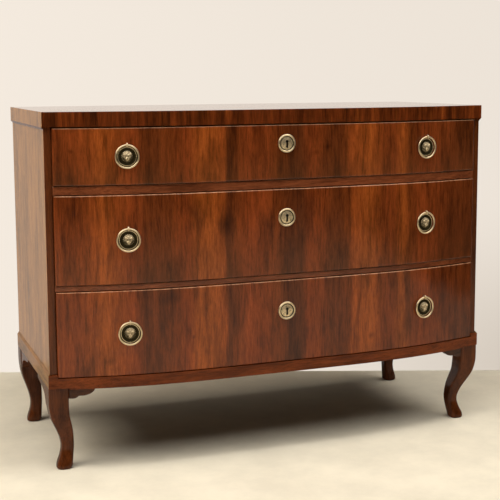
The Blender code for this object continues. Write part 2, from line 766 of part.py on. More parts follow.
def keyhole_cutter(index, parent):
    face = -DRAWER_PROUD - BOW_DEPTH
    front = face - SHIELD_RIM_HEIGHT - CUT_OVERRUN
    back = lock_front() + LOCK_THICKNESS / 2 - BOLT_THICKNESS / 2 + FIT_GAP
    mesh = outline_mesh("keyhole", keyhole_outline(key_height(index)), front, back, ACROSS_Y)
    return add_cutter("keyhole", mesh, parent)


def pull_angle(x):
    """How far the bowed front has turned away where a pull sits."""
    return atan2(-bow_slope(x), 1)


def pull_place(index, x):
    """Frame of a pull: local Z points out of the front, local Y up, local X along it."""
    height = (FRONT_LOWS[index] + FRONT_HIGHS[index]) / 2
    location = Matrix.Translation((x, -DRAWER_PROUD - bow_at(x), height))
    return location @ Matrix.Rotation(pull_angle(x), 4, "Z") @ Matrix.Rotation(pi / 2, 4, "X")


def key_height(index):
    return (FRONT_LOWS[index] + FRONT_HIGHS[index]) / 2 + KEYHOLE_RISES[index]


def lock_front():
    """Front face of the lock case, let into the back of the drawer front at the middle."""
    return -DRAWER_PROUD - BOW_DEPTH + FRONT_THICKNESS - LOCK_THICKNESS


def lock_levels(index):
    return key_height(index) - LOCK_BELOW_KEY, FRONT_HIGHS[index]


def bolt_plan():
    """Half width, front and back of a lock's bolt."""
    middle = lock_front() + LOCK_THICKNESS / 2
    return BOLT_WIDTH / 2, middle - BOLT_THICKNESS / 2, middle + BOLT_THICKNESS / 2


def bolt_levels(index):
    """Foot and tip of a lock's bolt when it is drawn in."""
    return key_height(index) + BOLT_ABOVE_KEY, FRONT_HIGHS[index]


def bolt_pocket(number, underside):
    """Mortise that the bolt of a drawer's lock rises into."""
    half, front, back = bolt_plan()
    margin = BOLT_POCKET_MARGIN
    depth = BOLT_THROW + margin
    mesh = block(
        "pocket", (-half - margin, front - margin, underside - CUT_OVERRUN),
        (half + margin, back + margin, underside + depth)
    )
    return add_cutter(f"bolt_pocket_{number}", mesh, CHEST)


def shank_cutter(index, x, parent):
    bm = bmesh.new()
    radius = SHANK_RADIUS + SHANK_CLEARANCE
    bmesh.ops.create_cone(
        bm, cap_ends=True, segments=WIRE_SIDES, radius1=radius, radius2=radius, depth=3 * FRONT_THICKNESS
    )
    cutter = add_cutter("shank_hole", to_mesh(bm, "shank_hole"), parent)
    cutter.matrix_basis = pull_place(index, x)
    return cutter


def make_drawer(index):
    number = index + 1
    drawer = add_empty(f"drawer_{number}", (0, 0, 0), CHEST)
    top, panel_top = drawer_levels(index)[1:]
    panel_low = panel_top - PANEL_THICKNESS
    panel_half = BOX_INNER + PANEL_GROOVE
    panel_front = FRONT_THICKNESS - DRAWER_PROUD - PANEL_GROOVE
    groove_mesh = bowed_board(
        "groove", panel_half + FIT_GAP, panel_front - FIT_GAP, CARCASS_DEPTH,
        panel_low - FIT_GAP, panel_top + FIT_GAP, False
    )
    groove = add_cutter(f"panel_groove_{number}", groove_mesh, drawer)

    mesh = bowed_board(
        "front", HALF_OPENING - FRONT_SIDE_CLEARANCE, -DRAWER_PROUD, FRONT_THICKNESS - DRAWER_PROUD,
        FRONT_LOWS[index], FRONT_HIGHS[index], True, FRONT_ROUNDING
    )
    front = add_part(f"drawer_{number}_front", mesh, "walnut_veneer", drawer)
    low, high = lock_levels(index)
    half = LOCK_WIDTH / 2 + FIT_GAP
    mortise = block(
        "mortise", (-half, lock_front() - FIT_GAP, low - FIT_GAP),
        (half, lock_front() + LOCK_THICKNESS + CUT_OVERRUN, high + CUT_OVERRUN)
    )
    combine(front, groove)
    combine(front, add_cutter("lock_mortise", mortise, drawer))
    combine(front, keyhole_cutter(index, drawer))

    mesh = block(
        "back", (-BOX_OUTER, BOX_REAR - BOX_BACK_THICKNESS, panel_top + FIT_GAP), (BOX_OUTER, BOX_REAR, top)
    )
    back = add_part(f"drawer_{number}_back", mesh, "beech", drawer)
    for name, sign in SIDES:
        make_drawer_side(index, name, sign, groove, drawer)
        combine(front, socket_cutter(index, sign, drawer, True))
        combine(back, socket_cutter(index, sign, drawer, False))
        combine(front, shank_cutter(index, sign * PULL_OFFSET, drawer))
    smooth(front)

    mesh = bowed_board(
        "panel", panel_half, panel_front, BOX_REAR, panel_low, panel_top, False
    )
    add_part(f"drawer_{number}_bottom", mesh, "pine", drawer)
    make_lock(index, drawer)
    return drawer


def make_lock(index, drawer):
    number = index + 1
    low, high = lock_levels(index)
    front = lock_front()
    mesh = block("case", (-LOCK_WIDTH / 2, front, low), (LOCK_WIDTH / 2, front + LOCK_THICKNESS, high))
    case = add_part(f"lock_{number}_case", mesh, "iron", drawer)
    half, bolt_front, bolt_back = bolt_plan()
    foot, tip = bolt_levels(index)
    channel = block(
        "channel", (-half - FIT_GAP, bolt_front - FIT_GAP, key_height(index) - KEYHOLE_LENGTH),
        (half + FIT_GAP, bolt_back + FIT_GAP, high + CUT_OVERRUN)
    )
    combine(case, add_cutter("bolt_channel", channel, drawer))
    combine(case, keyhole_cutter(index, drawer))
    centre = Vector((0, (bolt_front + bolt_back) / 2, (foot + tip) / 2))
    size = Vector((half, (bolt_back - bolt_front) / 2, (tip - foot) / 2))
    bolt = add_part(f"lock_{number}_bolt", block("bolt", -size, size), "brass", drawer)
    bolt.location = centre


# Fittings

def plate_profile():
    """Half section of a pull's plate, mask boss and shank, from the boss down its outer side."""
    rim_in = PLATE_RIM_RADIUS - PLATE_RIM_WIDTH / 2
    rim_out = PLATE_RIM_RADIUS + PLATE_RIM_WIDTH / 2
    profile = []
    for step in range(CHEEK_STEPS + 1):
        turn = pi / 2 * step / CHEEK_STEPS
        profile.append((MASK_RADIUS * sin(turn), PLATE_FIELD + MASK_HEIGHT * cos(turn)))
    back = FIT_GAP
    nut_front = -FRONT_THICKNESS - FIT_GAP
    profile += [
        (rim_in, PLATE_FIELD), (PLATE_RIM_RADIUS, PLATE_RIM), (rim_out, PLATE_EDGE + back),
        (PLATE_RADIUS, PLATE_EDGE + back), (PLATE_RADIUS, back), (SHANK_RADIUS, back),
        (SHANK_RADIUS, nut_front), (NUT_RADIUS, nut_front), (NUT_RADIUS, nut_front - NUT_HEIGHT),
        (0, nut_front - NUT_HEIGHT),
    ]
    return profile


def rounded_lump(name, radius, centre, stretch):
    bm = bmesh.new()
    bmesh.ops.create_uvsphere(bm, u_segments=LUMP_SEGMENTS, v_segments=LUMP_RINGS, radius=radius)
    bmesh.ops.scale(bm, vec=stretch, verts=bm.verts)
    bmesh.ops.translate(bm, vec=centre, verts=bm.verts)
    return add_cutter(name, to_mesh(bm, name), None)


def torus(name, major, minor, major_segments, minor_segments):
    bpy.ops.object.select_all(action="DESELECT")
    bpy.ops.mesh.primitive_torus_add(
        major_radius=major, minor_radius=minor, major_segments=major_segments,
        minor_segments=minor_segments
    )
    obj = bpy.context.object
    mesh = obj.data
    mesh.name = name
    bpy.data.objects.remove(obj)
    return mesh


def plate_mesh():
    """Stamped plate with a raised rim, a beast's mask and an eye for the ring."""
    plate = turned("plate", plate_profile(), PLATE_SEGMENTS)
    eye_mesh = torus("eye", EYE_RADIUS, EYE_WIRE, EYE_SEGMENTS, WIRE_SIDES)
    eye_mesh.transform(Matrix.Rotation(pi / 2, 4, "Y"))
    eye_mesh.transform(Matrix.Translation((0, RING_RADIUS, RING_STANDOFF)))
    top = PLATE_FIELD + MASK_HEIGHT
    muzzle_place = (0, -MUZZLE_DROP, top - MUZZLE_RADIUS / 2)
    parts = [
        add_cutter("eye", eye_mesh, None),
        rounded_lump("muzzle", MUZZLE_RADIUS, muzzle_place, MUZZLE_STRETCH_SHARES),
    ]
    for sign in (-1, 1):
        place = (sign * BROW_SPREAD, BROW_RISE, top - BROW_RADIUS / 2)
        parts.append(rounded_lump("brow", BROW_RADIUS, place, BROW_STRETCH_SHARES))
    for piece in parts:
        combine(plate, piece, "UNION")
    mesh = baked(plate)
    for piece in parts:
        bpy.data.objects.remove(piece)
    return mesh


def make_pulls(drawers):
    plate = plate_mesh()
    ring = torus("ring", RING_RADIUS, RING_WIRE, RING_SEGMENTS, WIRE_SIDES)
    ring.transform(Matrix.Translation((0, -RING_RADIUS, 0)))
    for index, drawer in enumerate(drawers):
        for name, sign in SIDES:
            place = pull_place(index, sign * PULL_OFFSET)
            stem = f"pull_{index + 1}_{name}"
            part = add_part(stem + "_plate", plate.copy(), "brass", drawer)
            part.matrix_basis = place
            smooth(part)
            part = add_part(stem + "_ring", ring.copy(), "brass", drawer)
            part.matrix_basis = place @ Matrix.Translation((0, RING_RADIUS, RING_STANDOFF))
            smooth(part)


def shield_profile():
    """Half section of the round key plate: domed middle, groove and rolled rim."""
    rim_half = SHIELD_RADIUS - SHIELD_RIM_RADIUS
    profile = []
    rise = SHIELD_DOME_HEIGHT - SHIELD_GROOVE_HEIGHT
    for share in SHIELD_DOME_SHARES:
        height = SHIELD_GROOVE_HEIGHT + rise * (1 - share ** 2)
        profile.append((share * SHIELD_GROOVE_RADIUS, height))
    profile.append((SHIELD_GROOVE_RADIUS, SHIELD_GROOVE_HEIGHT))
    for step in range(SHIELD_RIM_STEPS + 1):
        turn = pi - pi * step / SHIELD_RIM_STEPS
        height = SHIELD_RIM_HEIGHT - rim_half * (1 - sin(turn))
        profile.append((SHIELD_RIM_RADIUS + rim_half * cos(turn), max(height, SHIELD_GROOVE_HEIGHT / 2)))
    profile += [(SHIELD_RADIUS, 0), (0, 0)]
    return profile


def make_shields(drawers):
    for index, drawer in enumerate(drawers):
        mesh = baked(turned("shield", shield_profile(), SHIELD_SEGMENTS))
        mesh.transform(Matrix.Rotation(pi / 2, 4, "X"))
        shield = add_part(f"escutcheon_{index + 1}", mesh, "brass", drawer)
        shield.location = (0, -DRAWER_PROUD - BOW_DEPTH - FIT_GAP, key_height(index))
        combine(shield, keyhole_cutter(index, drawer))
        smooth(shield)


def main():
    make_top()
    make_sides()
    make_back()
    make_rails()
    make_runners()
    make_bottom_board()
    make_frame()
    make_legs()
    make_ears()
    drawers = [make_drawer(index) for index in range(len(FRONT_LOWS))]
    make_pulls(drawers)
    make_shields(drawers)
    bpy.context.view_layer.update()


main()
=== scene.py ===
from math import atan2, cos, pi, radians, sin

import bpy
from mathutils import Matrix, Vector


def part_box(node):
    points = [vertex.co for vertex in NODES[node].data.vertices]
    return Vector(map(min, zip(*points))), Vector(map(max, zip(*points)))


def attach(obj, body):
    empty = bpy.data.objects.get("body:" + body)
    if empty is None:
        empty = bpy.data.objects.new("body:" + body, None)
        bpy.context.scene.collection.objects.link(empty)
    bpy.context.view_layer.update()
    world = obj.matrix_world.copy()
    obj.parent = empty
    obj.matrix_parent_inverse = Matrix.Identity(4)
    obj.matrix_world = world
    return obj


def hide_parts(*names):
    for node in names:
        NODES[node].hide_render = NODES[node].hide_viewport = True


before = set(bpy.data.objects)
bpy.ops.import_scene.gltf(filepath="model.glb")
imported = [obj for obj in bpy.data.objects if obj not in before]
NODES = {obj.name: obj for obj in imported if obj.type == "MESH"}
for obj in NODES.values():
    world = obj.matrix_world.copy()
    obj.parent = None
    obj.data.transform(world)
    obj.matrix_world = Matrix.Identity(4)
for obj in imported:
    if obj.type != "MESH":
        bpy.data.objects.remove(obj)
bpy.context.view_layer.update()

bl_info = {
    "name": "Bow-front chest of drawers",
    "version": (1, 0, 0),
    "blender": (4, 5, 0),
    "location": "View3D > Sidebar > Chest",
    "description": "Dresses a bow-front walnut chest of drawers: veneer, legs, pulls, key plates and studio",
    "category": "Object",
}

DRAWERS = (1, 2, 3)
SIDES = (("left", -1), ("right", 1))
MM = 0.001

# Chest sizes in metres, as in the CAD frame
HALF_WIDTH = 0.600
HALF_OPENING = 0.582
HALF_FRONT = 0.581
STILE_Y = -0.20475
BACK_Y = 0.27025
BOW_DEPTH = 0.056
BOW_FULLNESS = 1.2
TOP_UNDER = 0.854
TOP_HEIGHT = 0.890
TOP_SIDE_PROUD = 0.0045
TOP_FRONT_PROUD = 0.006
COVE_HEIGHT = 0.007
FRAME_TOP = 0.2492
FRAME_LOW = 0.2163
FRAME_DROP = 0.0033
FRAME_PROUD = 0.0045
FRAME_FRONT_PROUD = 0.006
FRAME_DEPTH = 0.018
RAIL_DEPTH = 0.045
SEAT_HEIGHT = 0.2412
LEG_STEP = 0.0503
FRONT_PROUD = 0.005
FRONT_THICK = 0.022
PULL_X = 0.4084
RING_RADIUS = 0.0275
RING_STANDOFF = 0.0065

# Gap that fitted pieces keep, margins of a bolt's mortise, and the rounding that rails and base have worn to
FIT = 0.0003
MORTISE_MARGIN = 0.0015
MORTISE_DEPTH = 0.0085
RAIL_ROUNDING = 0.0014

# From front to back, where the lattice for the top lets its bow fade out
FADE_FRONT = STILE_Y + 0.030
FADE_BACK = BACK_Y - 0.005

# Stands a piece up that was made flat: local Z comes out of the front, local Y goes up
STANDING = Matrix.Rotation(pi / 2, 4, "X")


def bow_at(x):
    """How far the bowed plan stands forward of the stiles at x."""
    return BOW_DEPTH * max(cos(pi / 2 * (abs(x) / HALF_WIDTH) ** 2), 0) ** BOW_FULLNESS


def bow_slope(x):
    return (bow_at(x + MM) - bow_at(x - MM)) / (2 * MM)


def at(x, y, z):
    return Matrix.Translation((x, y, z))


# Settings that a user would change

def linear(hex_colour):
    """sRGB hex to a linear colour."""
    shares = [int(hex_colour[i:i + 2], 16) / 255 for i in (1, 3, 5)]
    return tuple(c / 12.92 if c <= 0.04045 else ((c + 0.055) / 1.055) ** 2.4 for c in shares)


def tone(name, description, hex_colour):
    return bpy.props.FloatVectorProperty(
        name=name, description=description, default=linear(hex_colour), subtype="COLOR", min=0, max=1
    )


def length(name, description, default, low, high):
    return bpy.props.FloatProperty(
        name=name, description=description, default=default, min=low, max=high, unit="LENGTH"
    )


class ChestColours(bpy.types.PropertyGroup):
    veneer_dark: tone("Dark streaks", "Heartwood streaks of the walnut veneer", "#572911")
    veneer_brown: tone("Brown leaf", "The veneer's browner leaves", "#6B3213")
    veneer_red: tone("Red leaf", "The veneer's usual red-brown", "#7D3917")
    veneer_amber: tone("Amber leaf", "The veneer's brightest leaves", "#90481B")
    solid_walnut: tone("Solid walnut", "Legs, ears and stiles", "#5A2D13")
    side_walnut: tone("Side veneer", "Veneer of the two ends", "#A06F3B")
    pine: tone("Pine", "Back and drawer bottoms", "#B98A55")
    # The underside pine is dark brown as painted shade under the chest
    shaded_underside_pine: tone("Old pine", "Underside of the chest, brown with floor dirt", "#4A3826")
    beech: tone("Beech", "Drawer sides, backs and runners", "#B78C5F")
    brass: tone("Brass", "Rubbed brass of rims and rings", "#E4D0AC")
    patina: tone("Patina", "Dark brown-green in the hollows of the brass", "#3A3322")
    iron: tone("Iron", "Lock cases and screws", "#4A4540")
    # Rubbed edges: real wear, and also a painted highlight on the upper roundings of fronts and rails
    rubbed: tone("Rubbed edges", "Walnut where the polish has worn off the edges", "#B98A66")
    rail: tone("Rails", "Rails between the drawers", "#82472A")
    floor: tone("Floor", "Smooth pale floor", "#F0E8D5")
    wall: tone("Wall", "Pale backdrop", "#F2E8DC")


class ChestSizes(bpy.types.PropertyGroup):
    front_rounding: length(
        "Front rounding", "Radius worn on the edges of the drawer fronts", 0.0030, 0.0005, 0.004
    )
    top_rounding: length("Top rounding", "Radius worn on the edge of the top", 0.0014, 0.0005, 0.004)
    ring_wire: length("Ring wire", "Half the thickness of the pull rings", 0.0022, 0.0015, 0.003)
    crossband: length("Crossband", "Width of the border veneer on the top", 0.042, 0.01, 0.1)


def colours():
    return bpy.context.scene.chest_colours


def sizes():
    return bpy.context.scene.chest_sizes


# Working by hand: selecting by place, and the usual edit-mode steps

def rest():
    """Back to object mode with nothing selected."""
    if bpy.context.mode != "OBJECT":
        bpy.ops.object.mode_set(mode="OBJECT")
    bpy.ops.object.select_all(action="DESELECT")


def take(*objects):
    rest()
    for obj in objects:
        obj.select_set(True)
    bpy.context.view_layer.objects.active = objects[0]
    return objects[0]


def added(name, operator, **settings):
    """The object that an operator adds, under its own name."""
    rest()
    operator(**settings)
    obj = bpy.context.object
    obj.name = name
    return obj


def discard(*objects):
    for obj in objects:
        bpy.data.objects.remove(obj)


def pick(obj, kind, test=None):
    """Enters edit mode with the faces, edges or verts that pass the test selected, or all of them."""
    take(obj)
    mesh = obj.data
    for group in (mesh.vertices, mesh.edges, mesh.polygons):
        group.foreach_set("select", [False] * len(group))
    co = [v.co for v in mesh.vertices]
    if kind == "FACE":
        for face in mesh.polygons:
            face.select = test is None or test(face.center, face.normal)
    elif kind == "EDGE":
        for edge in mesh.edges:
            a, b = (co[i] for i in edge.vertices)
            edge.select = test is None or test(a, b)
    else:
        for vert in mesh.vertices:
            vert.select = test is None or test(vert.co)
    bpy.context.tool_settings.mesh_select_mode = [kind == mode for mode in ("VERT", "EDGE", "FACE")]
    bpy.ops.object.mode_set(mode="EDIT")


def apply_place(obj):
    take(obj)
    bpy.ops.object.transform_apply(location=True, rotation=True, scale=True)
    return obj


def placed(obj, matrix):
    obj.matrix_world = matrix
    return apply_place(obj)


def modify(obj, kind, **settings):
    """Adds a modifier and applies it."""
    take(obj)
    modifier = obj.modifiers.new(kind.title(), kind)
    for key, value in settings.items():
        setattr(modifier, key, value)
    bpy.ops.object.modifier_apply(modifier=modifier.name)
    return obj


def cube(name, corner, opposite):
    """A cube primitive that fills the box between two opposite corners."""
    low, high = (Vector([end(pair) for pair in zip(corner, opposite)]) for end in (min, max))
    return apply_place(added(
        name, bpy.ops.mesh.primitive_cube_add, size=1, location=(low + high) / 2, scale=high - low
    ))


def torus(name, major, minor, around, across):
    return added(
        name, bpy.ops.mesh.primitive_torus_add, major_radius=major, minor_radius=minor,
        major_segments=around, minor_segments=across
    )


def bevel(obj, width, steps, test, profile=0.5):
    pick(obj, "EDGE", test)
    bpy.ops.mesh.bevel(offset=width, segments=steps, profile=profile, affect="EDGES")
    rest()


def cut_lengths(obj, cuts):
    """Cuts a long board across, by subdividing the edges along its length."""
    pick(obj, "EDGE", lambda a, b: abs(a.x - b.x) > 5 * max(abs(a.y - b.y), abs(a.z - b.z), MM))
    bpy.ops.mesh.subdivide(number_cuts=cuts)
    rest()


def bisect(obj, spot, across, **settings):
    """Cuts a piece through along a plane. It keeps both halves unless the settings clear one."""
    pick(obj, "FACE")
    bpy.ops.mesh.bisect(plane_co=spot, plane_no=across, **settings)
    rest()


def score(obj, axis, place):
    """Cuts an edge line round a board at a place along X or Y, without parting it."""
    across = Vector([float(name == axis) for name in "XYZ"])
    bisect(obj, across * place, across)


def face_out(obj):
    pick(obj, "FACE")
    bpy.ops.mesh.normals_make_consistent(inside=False)
    rest()
    return obj


def weld(obj):
    pick(obj, "VERT")
    bpy.ops.mesh.remove_doubles(threshold=MM / 100)
    rest()
    return face_out(obj)


def close_ends(obj):
    """Fills the open ends of a tube that is in edit mode."""
    bpy.ops.mesh.select_all(action="DESELECT")
    bpy.ops.mesh.select_non_manifold(extend=False, use_wire=True, use_boundary=True)
    bpy.ops.mesh.fill_holes(sides=0)
    rest()
    return face_out(obj)


def join(name, *objects):
    obj = take(*objects)
    bpy.ops.object.join()
    obj.name = obj.data.name = name
    return obj


def cut(obj, cutter, operation="DIFFERENCE"):
    modify(obj, "BOOLEAN", operation=operation, object=cutter, solver="EXACT")
    discard(cutter)
    return obj


def copy_of(obj, name):
    """A copy with its own mesh."""
    new = obj.copy()
    new.data = obj.data.copy()
    new.name = new.data.name = name
    bpy.context.scene.collection.objects.link(new)
    return new


def node_copy(name):
    """A merged copy of a CAD node, free of its body, to cut other pieces with."""
    new = copy_of(NODES[name], "copy_" + name)
    new.parent = None
    for key in list(new.keys()):
        del new[key]
    take(new)
    bpy.ops.mesh.customdata_custom_splitnormals_clear()
    return weld(new)


def mirrored(obj, name):
    """The same piece for the other side."""
    new = copy_of(obj, name)
    placed(new, Matrix.Scale(-1, 4, (1, 0, 0)))
    return face_out(new)


def bow_guide(name, flat_back):
    """A lattice that bends straight boards to the bowed plan, or only their front part."""
    guide = added(name, bpy.ops.object.add, type="LATTICE", location=(0, 0, 0.45))
    front = FADE_FRONT if flat_back else STILE_Y - 0.1
    guide.scale = (1.24, FADE_BACK - front, 1.0)
    guide.location.y = (front + FADE_BACK) / 2
    lattice = guide.data
    lattice.points_u, lattice.points_v, lattice.points_w = 63, 2, 2
    lattice.interpolation_type_u = "KEY_CATMULL_ROM"
    lattice.interpolation_type_v = lattice.interpolation_type_w = "KEY_LINEAR"
    for point in lattice.points:
        moves = not flat_back or point.co.y < 0
        point.co_deform.y -= bow_at(point.co.x * guide.scale.x) / guide.scale.y * moves
    return guide


def bowed_board(name, corner, opposite, rounding, cuts, edges):
    """A straight board eased along the given edges, cut across and bent to the bowed plan."""
    obj = cube(name, corner, opposite)
    bevel(obj, rounding, 4, edges)
    cut_lengths(obj, cuts)
    return modify(obj, "LATTICE", object=bpy.data.objects["bow_guide"])


def turned(name, profile, sides):
    """A circle extruded and resized along a half section, radii and heights in mm, closed at both ends."""
    profile = [(radius * MM, height * MM) for radius, height in profile]
    radius, height = profile[0]
    obj = apply_place(added(
        name, bpy.ops.mesh.primitive_circle_add, vertices=sides, radius=radius, location=(0, 0, height)
    ))
    bpy.ops.object.mode_set(mode="EDIT")
    bpy.ops.mesh.select_mode(type="EDGE")
    bpy.ops.mesh.select_all(action="SELECT")
    for (r0, z0), (r1, z1) in zip(profile, profile[1:]):
        bpy.ops.mesh.extrude_region_move(TRANSFORM_OT_translate={"value": (0, 0, z1 - z0)})
        bpy.ops.transform.resize(value=(r1 / r0, r1 / r0, 1), center_override=(0, 0, z1))
    return close_ends(obj)


def rod(name, radius, low, high, sides=24):
    """An upright round rod, in mm."""
    return turned(name, ((radius, low), (radius, high)), sides)


def lump(spot, size):
    """One rounded lump, in mm."""
    return apply_place(added(
        "lump", bpy.ops.mesh.primitive_uv_sphere_add, segments=20, ring_count=12, radius=1,
        location=[v * MM for v in spot], scale=[v * MM for v in size]
    ))


def outlined(name, points, thickness, rounding, stand):
    """A drawn outline of corners and curve points, thickened with eased edges and stood up."""
    obj = added(name, bpy.ops.curve.primitive_bezier_curve_add)
    curve = obj.data
    curve.dimensions = "2D"
    curve.fill_mode = "BOTH"
    curve.resolution_u = 5
    curve.extrude = thickness / 2 - rounding
    curve.bevel_depth = rounding
    curve.bevel_resolution = 2
    curve.offset = -rounding
    spline = curve.splines[0]
    spline.bezier_points.add(len(points) - 2)
    spline.use_cyclic_u = True
    for knot, (x, y, kind) in zip(spline.bezier_points, points):
        knot.co = (x, y, 0)
        knot.handle_left_type = knot.handle_right_type = kind
    take(obj)
    bpy.ops.object.convert(target="MESH")
    obj.data.name = name
    return weld(placed(obj, stand))


def lofted(name, sections):
    """Rounded squares (x, y, z, width, corner) bridged in their order and closed at both ends."""
    rings = []
    for x, y, z, wide, corner in sections:
        ring = apply_place(added("ring", bpy.ops.mesh.primitive_plane_add, size=wide, location=(x, y, z)))
        pick(ring, "VERT")
        bpy.ops.mesh.bevel(offset=corner, segments=5, affect="VERTICES")
        bpy.ops.mesh.select_all(action="SELECT")
        bpy.ops.mesh.delete(type="ONLY_FACE")
        rest()
        rings.append(ring)
    obj = join(name, *rings)
    pick(obj, "EDGE")
    bpy.ops.mesh.bridge_edge_loops(type="SINGLE")
    return close_ends(obj)


def through(rows, count):
    """Rows of numbers evened out to more rows on a smooth curve through them."""
    found = []
    for step in range(count + 1):
        spot = step * (len(rows) - 1) / count
        index = min(int(spot), len(rows) - 2)
        t = spot - index
        four = [rows[min(max(index + k, 0), len(rows) - 1)] for k in (-1, 0, 1, 2)]
        found.append([
            0.5 * (
                2 * b + (c - a) * t + (2 * a - 5 * b + 4 * c - d) * t ** 2
                + (3 * b - a - 3 * c + d) * t ** 3
            )
            for a, b, c, d in zip(*four)
        ])
    return found


def fill_slots(obj, keys):
    """Empties a piece's material slots and fills them with the finishes of these names."""
    obj.data.materials.clear()
    for key in keys:
        obj.data.materials.append(MATERIALS[key])


def paint_faces(obj, *rules):
    """Each face takes the slot of the last rule whose test it passes, or else the first slot."""
    while len(obj.data.materials) <= max(slot for slot, _ in rules):
        obj.data.materials.append(None)
    for face in obj.data.polygons:
        face.material_index = 0
        for slot, test in rules:
            if test(face.center, face.normal):
                face.material_index = slot


def finish(obj, body, slot, keys, degrees, *stands_for):
    """Smooths a piece, keeps its broad faces flat, gives it its finishes and seats it on its body."""
    take(obj)
    bpy.ops.object.shade_smooth_by_angle(angle=radians(degrees))
    modify(obj, "WEIGHTED_NORMAL", keep_sharp=True)
    keys = [keys] if isinstance(keys, str) else keys
    if len(obj.data.materials) != len(keys):
        fill_slots(obj, keys)
    for index, key in enumerate(keys):
        obj.data.materials[index] = MATERIALS[key]
    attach(obj, body)
    if stands_for:
        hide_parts(*stands_for)


def dress(name, key):
    """Gives a CAD node that keeps its shape its real finish."""
    obj = NODES[name]
    if not obj.material_slots:
        obj.data.materials.append(None)
    for slot in obj.material_slots:
        slot.material = MATERIALS[key]


# Materials

VECTOR = "ShaderNodeVectorMath"
MATERIALS = {}


def node(tree, kind, links=None, **settings):
    """Adds a node with its settings, and joins or sets its inputs."""
    new = tree.nodes.new(kind)
    for key, value in settings.items():
        setattr(new, key, value)
    for key, value in (links or {}).items():
        socket = new.inputs[key]
        if isinstance(value, bpy.types.NodeSocket):
            tree.links.new(value, socket)
        else:
            socket.default_value = value
    return new


def maths(tree, operation, *values, kind="ShaderNodeMath", **settings):
    """The outputs of a maths node that takes its values in their order."""
    return node(tree, kind, dict(enumerate(values)), operation=operation, **settings).outputs


def part_of(tree, vector, axis):
    return node(tree, "ShaderNodeSeparateXYZ", {0: vector}).outputs[axis]


def span(tree, value, low, high):
    """A value as its share of the way from low to high."""
    return node(tree, "ShaderNodeMapRange", {"Value": value, "From Min": low, "From Max": high}).outputs[0]


def bump(tree, height, strength, distance, under=None):
    """Relief of a pattern, over another relief if one is given."""
    links = {"Height": height, "Strength": strength, "Distance": distance}
    if under is not None:
        links["Normal"] = under
    return node(tree, "ShaderNodeBump", links).outputs[0]


def new_material(name):
    """A material with its tree emptied, and its object coordinates."""
    material = bpy.data.materials.new(name)
    material.use_nodes = True
    tree = material.node_tree
    tree.nodes.clear()
    place = node(tree, "ShaderNodeTexCoord").outputs["Object"]
    return material, tree, place


def shade(tree, **sockets):
    """Principled shader into the output. Underscores in a key stand for spaces."""
    links = {key.replace("_", " "): value for key, value in sockets.items()}
    shader = node(tree, "ShaderNodeBsdfPrincipled", links)
    node(tree, "ShaderNodeOutputMaterial", {"Surface": shader.outputs[0]})


def grey(value):
    return (value, value, value)


def ramp(tree, factor, *stops, mode="LINEAR"):
    """A colour ramp of stops: a position, and a colour or the value of a grey."""
    new = node(tree, "ShaderNodeValToRGB", {"Fac": factor})
    new.color_ramp.interpolation = mode
    elements = new.color_ramp.elements
    while len(elements) < len(stops):
        elements.new(1.0)
    for element, (position, colour) in zip(elements, stops):
        element.position = position
        element.color = (*(grey(colour) if isinstance(colour, (int, float)) else colour), 1)
    return new.outputs["Color"]


def stretched(along, across_mm, along_mm):
    """Mapping scale of a pattern that is fine across the grain and long along it."""
    return tuple(1000 / (along_mm if axis == along else across_mm) for axis in "XYZ")


def noise(tree, vector, scale, detail, roughness=0.55, output=0):
    """Noise with so many cells to the metre along each axis."""
    mapped = node(tree, "ShaderNodeMapping", {"Vector": vector, "Scale": scale})
    return node(tree, "ShaderNodeTexNoise", {
        "Vector": mapped.outputs[0], "Scale": 1.0, "Detail": detail, "Roughness": roughness,
    }).outputs[output]


def blend(tree, base, over, factor=1.0, mode="MULTIPLY"):
    """One colour blended over another."""
    new = node(tree, "ShaderNodeMix", data_type="RGBA", blend_type=mode)
    for index, value in ((0, factor), (6, base), (7, over)):
        if isinstance(value, bpy.types.NodeSocket):
            tree.links.new(value, new.inputs[index])
        else:
            new.inputs[index].default_value = value if index == 0 else (*value, 1)
    return new.outputs[2]


def wandering(tree, place, along, amount_mm):
    """Object coordinates that drift slowly, so that grain lines wave as they run."""
    drift = noise(tree, place, stretched(along, 70, 260), 1.0, output="Color")
    centred = maths(tree, "SUBTRACT", drift, grey(0.5), kind=VECTOR)[0]
    return maths(tree, "MULTIPLY_ADD", centred, grey(amount_mm * MM), place, kind=VECTOR)[0]


def wear_and_edge_highlight(tree, colour, amount, patches):
    """Paler upper roundings: polish rubbed off by hands, and a painted highlight of light from above."""
    normal = node(tree, "ShaderNodeTexCoord").outputs["Normal"]
    rounding = ramp(tree, part_of(tree, normal, "Z"), (0.10, 0), (0.45, 1), (0.90, 1), (0.98, 0))
    broken = ramp(tree, patches, (0.38, 0.35 * amount), (0.58, amount))
    return blend(tree, colour, colours().rubbed, maths(tree, "MULTIPLY", rounding, broken)[0], "MIX")


def painted_floor_sheen(tree, place, colour):
    """Painted reflection of the floor: a grey sheen low on the upper two drawer fronts."""
    stops = []
    for number, sheen_share in ((3, 0.0), (2, 0.12), (1, 0.17)):
        low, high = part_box(f"drawer_{number}_front")
        middle = low.z + 0.45 * (high.z - low.z)
        stops += [(low.z, sheen_share), (middle, sheen_share / 3), (high.z - 0.004, 0)]
    return blend(tree, colour, linear("#70543A"), ramp(tree, part_of(tree, place, "Z"), *stops), "MIX")


